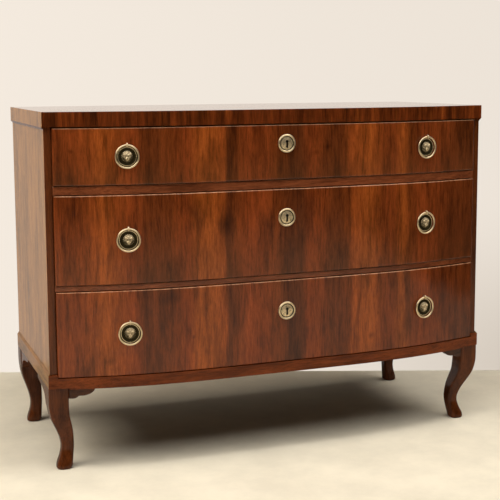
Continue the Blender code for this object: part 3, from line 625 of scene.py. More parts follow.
def walnut(
    name, along, base, streak, figure_mm, polish, wander_mm, coat=0.6, edge_wear_and_highlight=0, leaves=None, marks=()
):
    """Polished walnut: streaks and pores along the grain under a clear old polish."""
    material, tree, place = new_material(name)
    bent = wandering(tree, place, along, wander_mm)
    colour = leaves(tree, bent) if leaves else base
    broad = noise(tree, bent, stretched(along, figure_mm * 3.4, 190), 4.0, 0.62)
    streaks = noise(tree, bent, stretched(along, figure_mm, 130), 5.0, 0.70)
    lines = noise(tree, bent, stretched(along, figure_mm * 0.30, 34), 5.0, 0.75)
    pores = noise(tree, bent, stretched(along, 1.5, 16), 2.0, 0.7)
    for pattern, (low, middle, high), darker, paler in (
        (broad, (0.34, 0.50, 0.64), grey(0.75), 0.40),
        (streaks, (0.30, 0.50, 0.72), (0.85, 0.92, 0.92), 0.38),
        (lines, (0.34, 0.54, 0.68), grey(0.62), 0.28),
    ):
        dark = [1 - share * streak for share in darker]
        stops = ((low, dark), (middle, 1), (high, 1 + paler * streak))
        colour = blend(tree, colour, ramp(tree, pattern, *stops))
    # A painted reflection of the floor, as a grey sheen low on the upper two fronts
    if leaves is front_leaves:
        colour = painted_floor_sheen(tree, place, colour)
    # Upper roundings painted paler: partly rubbed polish, partly a painted highlight
    if edge_wear_and_highlight:
        colour = wear_and_edge_highlight(tree, colour, edge_wear_and_highlight, streaks)
    colour = blend(tree, colour, ramp(tree, pores, (0.34, 0.62), (0.46, 1)), 0.55)
    for x, z, wide_mm, high_mm, strength in marks:
        away = maths(tree, "SUBTRACT", bent, (x * MM, 0, z * MM), kind=VECTOR)[0]
        away = maths(tree, "MULTIPLY", away, (1000 / wide_mm, 0, 1000 / high_mm), kind=VECTOR)[0]
        away = maths(tree, "LENGTH", away, kind=VECTOR)["Value"]
        fading = ramp(tree, away, (0, 1 - strength), (0.45, 1 - 0.6 * strength), (1, 1))
        colour = blend(tree, colour, fading)
    grit = bump(tree, pores, 0.10, 0.0003)
    film = bump(tree, noise(tree, place, stretched(along, 38, 90), 2.0), 0.12, 0.004, grit)
    rough = ramp(tree, streaks, (0.2, 0.42), (0.8, 0.52))
    shade(
        tree, Base_Color=colour, Roughness=rough, IOR=1.5, Specular_IOR_Level=0.0, Normal=grit,
        Coat_Weight=coat, Coat_Roughness=polish, Coat_IOR=1.45, Coat_Normal=film
    )
    return material


# Tones across the front in mm from the middle: D dark, B brown, R red, A amber, and blends of two
LEAVES = (
    (-582, "RB"), (-530, "BR"), (-492, "RA"), (-462, "A"), (-436, "RA"), (-400, "R"), (-368, "BD"),
    (-330, "BD"), (-300, "B"), (-262, "R"), (-232, "A"), (-196, "A"), (-166, "RA"), (-158, "D"), (-138, "B"),
    (-104, "R"), (-58, "R"), (-30, "B"), (22, "D"), (44, "D"), (62, "R"), (98, "RB"), (126, "DB"),
    (158, "DB"), (186, "RA"), (236, "A"), (282, "RB"), (312, "BR"), (338, "A"), (364, "B"), (400, "R"),
    (530, "BD"),
)

# Knots and stains of the front: middle, width and height in mm, and how dark
FRONT_MARKS = (
    (-539, 796, 8, 7, 0.5), (-160, 604, 26, 34, 0.55), (83, 776, 14, 9, 0.4), (113, 790, 10, 8, 0.4),
    (-249, 323, 6, 8, 0.55), (244, 289, 12, 12, 0.45), (264, 345, 5, 6, 0.4), (-457, 280, 18, 14, 0.4),
    (-308, 432, 40, 22, 0.45), (510, 777, 16, 20, 0.25), (-160, 800, 40, 26, 0.25), (105, 480, 20, 26, 0.25),
)


def front_leaves(tree, place):
    """Leaves of upright veneer across the whole front, the same on all three drawers."""
    c = colours()
    tones = {"D": c.veneer_dark, "B": c.veneer_brown, "R": c.veneer_red, "A": c.veneer_amber}
    stops = []
    for mm, letters in LEAVES:
        mixed = [sum(tones[k][i] for k in letters) / len(letters) for i in range(3)]
        stops.append(((mm * MM + HALF_WIDTH) / (2 * HALF_WIDTH), mixed))
    return ramp(tree, span(tree, part_of(tree, place, "X"), -HALF_WIDTH, HALF_WIDTH), *stops)


def striped_leaves(tree, place):
    """Short crossbanded pieces of veneer, each with its own tone."""
    c = colours()
    bands = noise(tree, place, stretched("Z", 20, 200), 3.0, 0.65)
    return ramp(
        tree, bands, (0.30, Vector(c.veneer_dark) * 0.5), (0.44, Vector(c.veneer_brown) * 0.62),
        (0.56, Vector(c.veneer_red) * 0.7), (0.70, Vector(c.veneer_amber) * 0.8)
    )


def raw_wood(name, along, base, ring_mm, dark, rough=0.72):
    """Bare sawn softwood or beech, dull and unpolished, with growth lines along the board."""
    material, tree, place = new_material(name)
    bent = wandering(tree, place, along, 14)
    lines = noise(tree, bent, stretched(along, ring_mm, 420), 3.0, 0.6)
    specks = noise(tree, bent, stretched(along, 1.4, 9), 2.0, 0.7)
    dust = noise(tree, place, grey(9), 4.0, 0.6)
    colour = blend(tree, base, ramp(tree, lines, (0.32, dark), (0.52, 1), (0.8, 1.08)))
    colour = blend(tree, colour, ramp(tree, specks, (0.34, 0.72), (0.46, 1)), 0.6)
    colour = blend(tree, colour, ramp(tree, dust, (0.35, (0.72, 0.68, 0.62)), (0.62, 1)), 0.7)
    shade(tree, Base_Color=colour, Roughness=rough, IOR=1.5, Normal=bump(tree, specks, 0.25, 0.0004))
    return material


def aged_brass(name, dark_share, rough, attribute=None):
    """Cast brass, rubbed bright on what stands up and brown-green in its hollows."""
    c = colours()
    material, tree, place = new_material(name)
    worn = noise(tree, place, grey(1000 / 5.5), 4.0, 0.65)
    # The mask's attribute holds its patina and its painted highlight
    if attribute:
        patina_highlight_share = node(tree, "ShaderNodeAttribute", attribute_name=attribute).outputs["Fac"]
        worn = maths(tree, "MULTIPLY_ADD", worn, 0.25, patina_highlight_share)[0]
    middle = [0.55 * a + 0.45 * b for a, b in zip(c.patina, c.brass)]
    colour = ramp(
        tree, worn, (dark_share - 0.12, c.patina), (dark_share, middle), (dark_share + 0.16, c.brass)
    )
    roughness = ramp(tree, worn, (dark_share - 0.1, 0.55), (dark_share + 0.2, rough))
    pitted = bump(tree, noise(tree, place, grey(1000 / 0.9), 3.0, 0.6), 0.15, 0.0002)
    shade(tree, Base_Color=colour, Metallic=1.0, Roughness=roughness, Normal=pitted)
    return material


def old_iron(name):
    """Hand-filed wrought iron, brown-black, with a little rust and dull file marks."""
    c = colours()
    material, tree, place = new_material(name)
    rust = noise(tree, place, grey(1000 / 9), 5.0, 0.65)
    filed = noise(tree, place, (1000 / 1.2, 1000 / 20, 1000 / 14), 2.0)
    colour = ramp(tree, rust, (0.40, c.iron), (0.58, Vector(c.iron) * 0.6), (0.72, linear("#6B3A20")))
    shade(tree, Base_Color=colour, Metallic=0.85, Roughness=0.55, Normal=bump(tree, filed, 0.2, 0.0003))
    return material


def cement_floor():
    """Smooth cement, cloudy and satin."""
    material, tree, place = new_material("cement_floor")
    clouds = ramp(tree, noise(tree, place, grey(4.5), 6.0, 0.65), (0.36, 0.87), (0.62, 1))
    shade(tree, Base_Color=blend(tree, colours().floor, clouds), Roughness=0.8, Specular_IOR_Level=0.1)
    return material


def painted_wall():
    """Glowing paint with painted fall-off and shadow: camera and polish see it, and lamps shine through it.
    """
    material, tree, place = new_material("painted_wall")
    share = span(tree, part_of(tree, place, "X"), -1.0, 2.6)
    # Painted light, falling off from left to right across the wall
    painted_falloff = ramp(tree, share, (0, 1.04), (0.4, 0.97), (0.75, 0.93))
    # Painted shadow of the chest, low on the right of the wall
    low = ramp(tree, part_of(tree, place, "Z"), (0, (0.62, 0.59, 0.55)), (0.60, 1), mode="EASE")
    shadow = blend(tree, grey(1), low, ramp(tree, share, (0.35, 0), (0.70, 1)), "MIX")
    colour = blend(tree, blend(tree, colours().wall, painted_falloff), shadow)
    paint = node(tree, "ShaderNodeEmission", {"Color": colour}).outputs[0]
    clear = node(tree, "ShaderNodeBsdfTransparent").outputs[0]
    rays = node(tree, "ShaderNodeLightPath").outputs
    seen = maths(tree, "MAXIMUM", rays["Is Camera Ray"], rays["Is Glossy Ray"])[0]
    behind = node(tree, "ShaderNodeNewGeometry").outputs["Backfacing"]
    shown = maths(tree, "SUBTRACT", seen, behind, use_clamp=True)[0]
    mixed = node(tree, "ShaderNodeMixShader", {0: shown, 1: clear, 2: paint})
    node(tree, "ShaderNodeOutputMaterial", {"Surface": mixed.outputs[0]})
    return material


def studio_room():
    """The room: pale to the camera, dark in front of the chest, dim overhead."""
    world = bpy.data.worlds.new("studio")
    world.use_nodes = True
    tree = world.node_tree
    tree.nodes.clear()
    seen = node(tree, "ShaderNodeLightPath").outputs["Is Camera Ray"]
    heading = node(tree, "ShaderNodeTexCoord").outputs["Generated"]
    height = span(tree, part_of(tree, heading, "Z"), 0.3, 0.8)
    wall = colours().wall
    room = blend(tree, (0.02, 0.018, 0.015), Vector(wall) * 0.12, height, "MIX")
    background = node(tree, "ShaderNodeBackground", {"Color": blend(tree, room, wall, seen, "MIX")})
    node(tree, "ShaderNodeOutputWorld", {"Surface": background.outputs[0]})
    return world


def make_materials():
    """Every finish of the chest by its own name."""
    c = colours()
    solid, side = Vector(c.solid_walnut), Vector(c.side_walnut)
    pine_dark, beech_dark = (0.70, 0.58, 0.42), (0.84, 0.76, 0.66)
    return {
        # Walnut veneer, hand-planed and French polished: deep colour under a clear, soft shine
        "front": walnut(
            "walnut_front_veneer", "Z", None, 0.62, 11, 0.12, 14, 0.75, 0.8, front_leaves, FRONT_MARKS
        ),
        # Crossbanding: short grain across the edge, so it reads as close dark and light stripes
        "crossband": walnut("walnut_crossband", "Z", None, 0.55, 5, 0.16, 6, leaves=striped_leaves),
        "border": walnut("walnut_top_border", "Y", c.veneer_brown, 0.5, 7, 0.08, 10, 1.0),
        # Flat sawn veneer of the top, its grain along the chest, under the fullest polish
        "top": walnut("walnut_top_veneer", "X", c.veneer_brown, 0.5, 16, 0.08, 22, 1.0),
        # Veneer of the two ends, faded by daylight: paler and duller than the front
        "side": walnut("walnut_side_veneer", "Z", side, 0.45, 14, 0.14, 18, 0.5),
        # Solid walnut, darker with handling and rounded by wear
        "upright": walnut("walnut_solid_upright", "Z", solid, 0.5, 8, 0.20, 8),
        "leg": walnut("walnut_legs", "Z", solid * 0.95, 0.55, 8, 0.13, 8, 0.45),
        "lengthwise": walnut("walnut_solid_lengthwise", "X", solid * 0.7, 0.55, 8, 0.18, 10),
        "rail": walnut("walnut_rail", "X", c.rail, 0.55, 8, 0.12, 10, 0.8, 0.9),
        # Veneer of the base frame: duller, where brooms and shoes have taken its polish
        "frame_front": walnut("walnut_frame_veneer", "X", c.veneer_brown, 0.6, 10, 0.18, 10, 0.35),
        "frame_side": walnut("walnut_frame_side", "Y", side * 0.8, 0.45, 10, 0.14, 10, 0.4),
        # Pine, planed and left bare: yellow-brown, dusty, with wide growth lines
        "pine_up": raw_wood("pine_upright", "Z", c.pine, 13, pine_dark),
        # Underside pine painted dark brown: painted shade under the chest
        "pine_under": raw_wood("pine_underneath", "X", c.shaded_underside_pine, 12, (0.62, 0.52, 0.42), 0.9),
        "pine_long": raw_wood("pine_lengthwise", "X", c.pine, 12, pine_dark),
        # Beech, planed and left bare: pinkish, close and even
        "beech_deep": raw_wood("beech_depthwise", "Y", c.beech, 7, beech_dark, 0.66),
        "beech_long": raw_wood("beech_lengthwise", "X", c.beech, 7, beech_dark, 0.66),
        # Cast brass: rims and rings are rubbed by hands, fields and hollows keep their patina
        "ring": aged_brass("brass_rubbed", 0.22, 0.30),
        "field": aged_brass("brass_darkened", 0.84, 0.45),
        # The mask's bright brow and muzzle are partly a painted highlight
        "mask": aged_brass("brass_mask", 0.25, 0.36, "Dirt"),
        "dome": aged_brass("brass_handled", 0.36, 0.40),
        "bolt": aged_brass("brass_bolt", 0.22, 0.35),
        # Wood inside the keyholes, painted near black: painted shade deep in the hole
        "keyhole": raw_wood("keyhole_painted_shade", "Z", linear("#1A110B"), 6, grey(0.6), 0.5),
        # Wrought iron: nearly black, filed flat
        "iron": old_iron("iron_filed"),
    }


# Pieces

class ChestOperator:
    bl_options = {"REGISTER", "UNDO"}


# Where the photograph was taken from: place, turns, and the lens in pixels of its square picture
EYE = Vector((-1.0586, -2.80455, 0.9734))
YAW, PITCH, ROLL = 0.3633, 0.1225, -0.0044
PICTURE = 500
FOCAL = 1092.016
MIDDLE_X, MIDDLE_Y = 252.2013, 210
SENSOR_MM = 36

# Distances in metres: wall from the camera, and the floor's near edge and far corner
WALL_AWAY, WALL_HEIGHT = 3.53, 3.6
FLOOR_FRONT, FLOOR_BACK, FLOOR_LEFT, FLOOR_RIGHT = -4.7, 5.5, -6, 2.1

# Lamps: place, aim, width and depth in metres, watts and tint
LAMPS = (
    ("softbox", (-0.2, -1.7, 3.3), (-0.1, -0.25, 0), (6.0, 2.4), 104, "#FFFBF4"),
    ("tube", (0.2, -0.9, 3.2), (0.2, -0.9, 0), (3.2, 0.12), 17, "#FFFBF4"),
    ("window", (-2.8, -0.4, 2.9), (-0.8, 0.0, 0.1), (2.0, 2.0), 75, "#FFF6E8"),
    ("doorway", (2.2, -0.4, 3.1), (1.0, 0.0, 0.0), (1.6, 1.6), 26, "#FFF6E8"),
)


class CHEST_OT_stage(ChestOperator, bpy.types.Operator):
    """Lays the floor and backdrop, hangs the lamps and stands the camera where the photograph was taken"""
    bl_idname = "chest.stage"
    bl_label = "Studio"

    def execute(self, context):
        scene = context.scene
        scene.view_settings.view_transform = "Standard"
        forward = Vector((sin(YAW) * cos(PITCH), cos(YAW) * cos(PITCH), -sin(PITCH)))
        right = Vector((cos(YAW), -sin(YAW), 0))
        up = right.cross(forward)
        across = cos(ROLL) * right + sin(ROLL) * up
        upward = cos(ROLL) * up - sin(ROLL) * right
        camera = added("Camera", bpy.ops.object.camera_add, location=EYE)
        camera.matrix_world = at(*EYE) @ Matrix((across, upward, -forward)).transposed().to_4x4()
        camera.data.sensor_width = SENSOR_MM
        camera.data.lens = FOCAL / PICTURE * SENSOR_MM
        camera.data.shift_x = (PICTURE / 2 - MIDDLE_X) / PICTURE
        camera.data.shift_y = (MIDDLE_Y - PICTURE / 2) / PICTURE
        camera.data.clip_end = 50
        scene.camera = camera

        foot = EYE + Vector((sin(YAW), cos(YAW), 0)) * WALL_AWAY
        foot.z = 0
        left_end, right_end = foot - right * 6.0, foot + right * 5.0
        rise = Vector((0, 0, WALL_HEIGHT))
        for name, corners, material in (
            ("backdrop", (left_end, right_end, left_end + rise, right_end + rise), painted_wall),
            ("floor", [(x, y, 0) for y in (FLOOR_FRONT, FLOOR_BACK) for x in (FLOOR_LEFT, FLOOR_RIGHT)],
             cement_floor),
        ):
            sheet = added(name, bpy.ops.mesh.primitive_plane_add, size=1)
            for vert, corner in zip(sheet.data.vertices, corners):
                vert.co = corner
            sheet.data.materials.append(material())
        scene.world = studio_room()

        for name, spot, aim, size, power, tint in LAMPS:
            lamp = added(name, bpy.ops.object.light_add, type="AREA", location=spot)
            lamp.rotation_mode = "QUATERNION"
            lamp.rotation_quaternion = (Vector(aim) - Vector(spot)).to_track_quat("-Z", "Y")
            lamp.data.shape = "RECTANGLE"
            lamp.data.size, lamp.data.size_y = size
            lamp.data.energy = power
            lamp.data.color = linear(tint)
        return {"FINISHED"}


def bolt_mortise(number, under):
    """Block the size of the slot that a lock's bolt rises into, in the piece above it."""
    low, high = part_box(f"lock_{number}_bolt")
    return cube(
        "mortise", (low.x - MORTISE_MARGIN, low.y - MORTISE_MARGIN, under - 2 * MM),
        (high.x + MORTISE_MARGIN, high.y + MORTISE_MARGIN, under + MORTISE_DEPTH)
    )


class CHEST_OT_top(ChestOperator, bpy.types.Operator):
    """Builds the top: bowed edge, crossbanded border round a field of long grain, and the side coves"""
    bl_idname = "chest.top"
    bl_label = "Top"

    def execute(self, context):
        half, front = HALF_WIDTH + TOP_SIDE_PROUD, STILE_Y - TOP_FRONT_PROUD
        border = sizes().crossband

        def upper_edge(a, b):
            """The upper edge round the front and ends, not along the back."""
            return min(a.z, b.z) > TOP_HEIGHT - MM and min(a.y, b.y) < BACK_Y - MM

        def cove_edge(a, b):
            """The lower outer edge of a cove."""
            outside = min(abs(a.x), abs(b.x)) > HALF_WIDTH + MM
            return outside and max(a.z, b.z) < TOP_UNDER - COVE_HEIGHT + MM and abs(a.y - b.y) > 0.1

        def in_field(c, n):
            """The upper face inside the border."""
            fade = min(max((FADE_BACK - c.y) / (FADE_BACK - FADE_FRONT), 0), 1)
            field_front = front - bow_at(c.x) * fade + border * 0.9
            return n.z > 0.99 and abs(c.x) < half - border and field_front < c.y < BACK_Y - border

        top = cube("top", (-half, front, TOP_UNDER), (half, BACK_Y, TOP_HEIGHT))
        bevel(top, 0.0015, 2, lambda a, b: abs(a.z - b.z) > 0.02 and a.y < 0)
        bevel(top, sizes().top_rounding, 3, upper_edge)
        cut_lengths(top, 90)
        for axis, place in (
            ("X", border - half), ("X", half - border), ("Y", front + border), ("Y", BACK_Y - border)
        ):
            score(top, axis, place)
        modify(top, "LATTICE", object=bpy.data.objects["bow_guide_front"])
        cut(top, bolt_mortise(1, TOP_UNDER))
        for _, sign in SIDES:
            cove = cube(
                "cove", (sign * HALF_WIDTH, STILE_Y - MM, TOP_UNDER - COVE_HEIGHT),
                (sign * half, BACK_Y, TOP_UNDER - MM / 20)
            )
            bevel(cove, 0.0042, 5, cove_edge, 0.08)
            top = join("top", top, cove)
        # The coves under the ends of the top take the dark crossband finish, as painted shade in the hollow
        paint_faces(
            top, (3, lambda c, n: n.z > 0.99), (1, in_field), (2, lambda c, n: n.z < -0.9 or n.y > 0.9),
            (4, lambda c, n: abs(n.x) > 0.7), (0, lambda c, n: c.z < TOP_UNDER - MM / 10)
        )
        keys = ("crossband", "top", "pine_long", "border", "side")
        finish(top, "carcass", "walnut_veneer", keys, 35, "top_board")
        return {"FINISHED"}


class CHEST_OT_sides(ChestOperator, bpy.types.Operator):
    """Builds the two ends with their eased stile edges, and finishes the back, runners and dust board"""
    bl_idname = "chest.sides"
    bl_label = "Sides and carcass"

    def execute(self, context):
        for side, sign in SIDES:
            low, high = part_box("side_" + side)
            board = cube("end_" + side, low, high)
            bevel(board, 0.0012, 3, lambda a, b: abs(a.z - b.z) > 0.1)
            bevel(board, 0.0006, 2, lambda a, b: max(a.y, b.y) < STILE_Y + 2 * MM and abs(a.x - b.x) > 0.01)
            paint_faces(
                board, (1, lambda c, n: n.y < -0.6), (2, lambda c, n: n.x * sign < -0.8 or n.y > 0.8)
            )
            finish(board, "carcass", "walnut_veneer", ("side", "upright", "pine_up"), 40, "side_" + side)
            dress("frame_" + side, "frame_side")
            for number in DRAWERS:
                dress(f"runner_{number}_{side}", "beech_deep")
        dress("back_panel", "pine_up")
        dress("carcass_bottom", "pine_under")
        dress("frame_back", "pine_long")
        return {"FINISHED"}


def face_edges(a, b):
    """The two long edges at the face of a rail or of the base."""
    return abs(a.x - b.x) > 0.1 and max(a.y, b.y) < STILE_Y + MM


class CHEST_OT_rails(ChestOperator, bpy.types.Operator):
    """Builds the bowed rails between the drawers and the bowed front of the base frame"""
    bl_idname = "chest.rails"
    bl_label = "Rails and base"

    def execute(self, context):
        half = HALF_OPENING - FIT
        for number, name in ((2, "rail_upper"), (3, "rail_lower")):
            low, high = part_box(name)
            rail = bowed_board(
                name + "_face", (-half, STILE_Y, low.z), (half, STILE_Y + RAIL_DEPTH, high.z),
                RAIL_ROUNDING, 79, face_edges
            )
            cut(rail, bolt_mortise(number, low.z))
            finish(rail, "carcass", "walnut_solid", "rail", 35, name)

        half = HALF_WIDTH + FRAME_PROUD
        front, back = STILE_Y - FRAME_FRONT_PROUD, STILE_Y + FRAME_DEPTH
        base = bowed_board(
            "base_front", (-half, front, FRAME_LOW - FRAME_DROP), (half, back, FRAME_TOP),
            RAIL_ROUNDING, 79, face_edges
        )
        for _, sign in SIDES:
            outward = Vector((sign, 1, 0)).normalized()
            mitre = Vector((sign * half, front, 0)) - outward * FIT / 2
            bisect(base, mitre, outward, use_fill=True, clear_outer=True)
            cut(base, cube(
                "leg_step", (sign * (half - LEG_STEP), front - 0.1, 0.2),
                (sign * (half + 0.01), back + 0.01, FRAME_LOW)
            ))
        cut(base, cube(
            "drawer_seat", (-HALF_OPENING, front - 0.1, SEAT_HEIGHT), (HALF_OPENING, back + 0.01, 0.26)
        ))
        finish(base, "carcass", "walnut_veneer", "frame_front", 35, "frame_front")
        return {"FINISHED"}


# Cabriole leg in metres, and its rows from the frame down:
# place up the leg, sweep, width and corner, as shares
LEG_WIDTH, LEG_SWEEP, LEG_HEIGHT = 0.050, 0.0357, FRAME_LOW - FIT
LEG_ROWS = (
    (1.00, 0.00, 1.00, 0.08), (0.83, 0.00, 0.99, 0.09), (0.74, 0.05, 0.97, 0.10), (0.65, 0.16, 0.93, 0.12),
    (0.56, 0.37, 0.88, 0.14), (0.46, 0.65, 0.79, 0.17), (0.37, 0.87, 0.69, 0.21), (0.28, 1.00, 0.63, 0.25),
    (0.21, 0.98, 0.63, 0.28), (0.14, 0.86, 0.68, 0.32), (0.07, 0.67, 0.77, 0.36), (0.02, 0.61, 0.78, 0.40),
    (0.00, 0.68, 0.66, 0.42),
)

# Bracket beside each leg and ear under the front: thickness, length and drop in metres,
# and the rows of their curves as shares of length and drop
PLATE_THICK = 0.020
BRACKET_START, BRACKET_END, BRACKET_DROP = 0.050, 0.165, 0.054
BRACKET_ROWS = ((0.06, 0.93), (0.11, 0.76), (0.17, 0.60), (0.28, 0.47), (0.50, 0.36), (0.76, 0.29))
BRACKET_TIP = 0.20
EAR_LENGTH, EAR_DROP, EAR_CUTS = 0.063, 0.0255, 12
EAR_ROWS = (
    (0.00, 1.00), (0.18, 1.00), (0.25, 0.96), (0.31, 0.86), (0.36, 0.77), (0.42, 0.75), (0.56, 0.74),
    (0.66, 0.69), (0.78, 0.59), (0.88, 0.44), (0.95, 0.27), (0.97, 0.12), (1.00, 0.12),
)
UPRIGHT_YZ = Matrix(((0, 0, 1, 0), (1, 0, 0, 0), (0, 1, 0, 0), (0, 0, 0, 1)))
UPRIGHT_XZ = Matrix(((1, 0, 0, 0), (0, 0, -1, 0), (0, 1, 0, 0), (0, 0, 0, 1)))


class CHEST_OT_legs(ChestOperator, bpy.types.Operator):
    """Lofts the cabriole legs, draws their side brackets and the shaped ears under the front"""
    bl_idname = "chest.legs"
    bl_label = "Legs and ears"

    def execute(self, context):
        outer_x = HALF_WIDTH + FRAME_PROUD
        for row, inward, outer_y, share_x, share_y in (
            ("front", 1, STILE_Y - FRAME_PROUD, 1.0, 1.0), ("back", -1, BACK_Y, 0.75, 0.30)
        ):
            sections = []
            for place, swept, width, corner in through(LEG_ROWS, 44):
                side = width * LEG_WIDTH
                x = -(outer_x - share_x * swept * LEG_SWEEP - side / 2)
                y = outer_y + inward * (share_y * swept * LEG_SWEEP + side / 2)
                sections.append((x, y, max(place, 0) * LEG_HEIGHT, side, min(corner, 0.46) * side))
            leg = lofted("leg", sections)
            low = LEG_HEIGHT - BRACKET_DROP
            root = BRACKET_START / 2
            points = [
                (root, LEG_HEIGHT, "VECTOR"), (root, low, "VECTOR"), (BRACKET_START - MM, low, "VECTOR"),
            ]
            reach = BRACKET_END - BRACKET_START
            points += [
                (BRACKET_START + a * reach, LEG_HEIGHT - d * BRACKET_DROP, "AUTO") for a, d in BRACKET_ROWS
            ]
            points += [(BRACKET_END, LEG_HEIGHT - d * BRACKET_DROP, "VECTOR") for d in (BRACKET_TIP, 0)]
            points = [(outer_y + inward * y, z, kind) for y, z, kind in points]
            stand = at(-(outer_x - 1.5 * MM - PLATE_THICK / 2), 0, 0) @ UPRIGHT_YZ
            bracket = outlined("bracket", points, PLATE_THICK, 0.0012, stand)
            leg = join(f"cabriole_leg_{row}_left", leg, bracket)
            other = mirrored(leg, f"cabriole_leg_{row}_right")
            finish(leg, "carcass", "walnut_solid", "leg", 38, f"leg_{row}_left")
            finish(other, "carcass", "walnut_solid", "leg", 38, f"leg_{row}_right")

        top = FRAME_LOW - FRAME_DROP - FIT
        start = outer_x - LEG_STEP
        points = [(-start, top, "VECTOR")]
        for index, (a, d) in enumerate(EAR_ROWS):
            kind = "AUTO" if 0 < index < 10 else "VECTOR"
            points.append((-start + a * EAR_LENGTH, top - d * EAR_DROP, kind))
        points.append((-start + EAR_LENGTH, top, "VECTOR"))
        front = STILE_Y - FRAME_FRONT_PROUD + 2 * MM
        ear = outlined("ear_left", points, PLATE_THICK, MM, at(0, front + PLATE_THICK / 2, 0) @ UPRIGHT_XZ)
        for step in range(1, EAR_CUTS):
            score(ear, "X", -start + step * EAR_LENGTH / EAR_CUTS)
        modify(ear, "LATTICE", object=bpy.data.objects["bow_guide"])
        placed(ear, at(0, bow_at(start), 0))
        other = mirrored(ear, "ear_right")
        finish(ear, "carcass", "walnut_solid", "lengthwise", 38, "ear_front_left")
        finish(other, "carcass", "walnut_solid", "lengthwise", 38, "ear_front_right")
        return {"FINISHED"}


def pull_frame(number, x):
    """Where a pull sits: local Z out of the front, local Y up."""
    low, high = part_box(f"drawer_{number}_front")
    place = at(x, STILE_Y - FRONT_PROUD - bow_at(x), (low.z + high.z) / 2)
    return place @ Matrix.Rotation(atan2(-bow_slope(x), 1), 4, "Z") @ STANDING


def key_frame(number):
    """Where a key plate sits, turned as a pull is."""
    low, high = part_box(f"escutcheon_{number}")
    return at(0, high.y, (low.z + high.z) / 2) @ STANDING


def key_cutter():
    """Round eye over a slot that widens to a rounded foot, cut along local Z."""
    eye = placed(rod("eye", 3.8, -30, 20, 40), at(0, 0.0045, 0))
    slot = cube("slot", (-0.0023, -0.0090, -0.0301), (0.0023, 0.0040, 0.0201))
    foot = placed(rod("foot", 3.1, -30.2, 20.2, 32), at(0, -0.0085, 0))
    cut(eye, slot, "UNION")
    return cut(eye, foot, "UNION")


class CHEST_OT_fronts(ChestOperator, bpy.types.Operator):
    """Builds the bowed drawer fronts: worn edges, dovetail sockets, lock mortise, keyhole and pull holes"""
    bl_idname = "chest.fronts"
    bl_label = "Drawer fronts"

    def execute(self, context):
        face = STILE_Y - FRONT_PROUD
        for number in DRAWERS:
            low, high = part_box(f"drawer_{number}_front")
            front = bowed_board(
                f"front_{number}", (-HALF_FRONT, face, low.z), (HALF_FRONT, face + FRONT_THICK, high.z),
                sizes().front_rounding, 95, lambda a, b: max(a.y, b.y) < face + MM
            )
            for part in ("side_left", "side_right", "bottom"):
                cut(front, node_copy(f"drawer_{number}_{part}"))
            case_low, case_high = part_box(f"lock_{number}_case")
            cut(front, cube("mortise", case_low - Vector(grey(FIT)), case_high + Vector((FIT, 0.01, 0.01))))
            for _, sign in SIDES:
                cut(front, placed(rod("hole", 3, -40, 10), pull_frame(number, sign * PULL_X)))
            cut(front, placed(key_cutter(), key_frame(number)))
            key_z = key_frame(number).translation.z

            def bare(c, n):
                """The back, and what the joints and mortise have laid open."""
                inside = low.z + MM / 2 < c.z < high.z - MM / 2 and abs(c.x) < HALF_FRONT - MM / 2
                return n.y > 0.25 or inside and c.y > face - bow_at(c.x) + 0.0045

            def in_keyhole(c, n):
                return abs(c.x) < 0.005 and abs(c.z - key_z) < 0.016 and abs(n.y) < 0.5

            # Faces inside the keyhole take the near-black finish, as painted shade of the hole
            paint_faces(front, (1, bare), (2, in_keyhole))
            front.data.name = front.name
            keys = ("front", "pine_long", "keyhole")
            finish(front, f"drawer_{number}", "walnut_veneer", keys, 35, f"drawer_{number}_front")
        return {"FINISHED"}


class CHEST_OT_boxes(ChestOperator, bpy.types.Operator):
    """Finishes the dovetailed drawer boxes and their bottoms"""
    bl_idname = "chest.boxes"
    bl_label = "Drawer boxes"

    def execute(self, context):
        for number in DRAWERS:
            dress(f"drawer_{number}_side_left", "beech_deep")
            dress(f"drawer_{number}_side_right", "beech_deep")
            dress(f"drawer_{number}_back", "beech_long")
            dress(f"drawer_{number}_bottom", "pine_long")
        return {"FINISHED"}


def tuft(turn, radius, length_mm, width, rise):
    """One lock of the mane, pointing away from the face."""
    obj = lump((0, 0, 0), (width, length_mm, width * 0.8))
    out = Matrix.Rotation(turn, 4, "Z") @ at(0, radius * MM, rise * MM)
    return placed(obj, out @ Matrix.Rotation(radians(-18), 4, "X"))


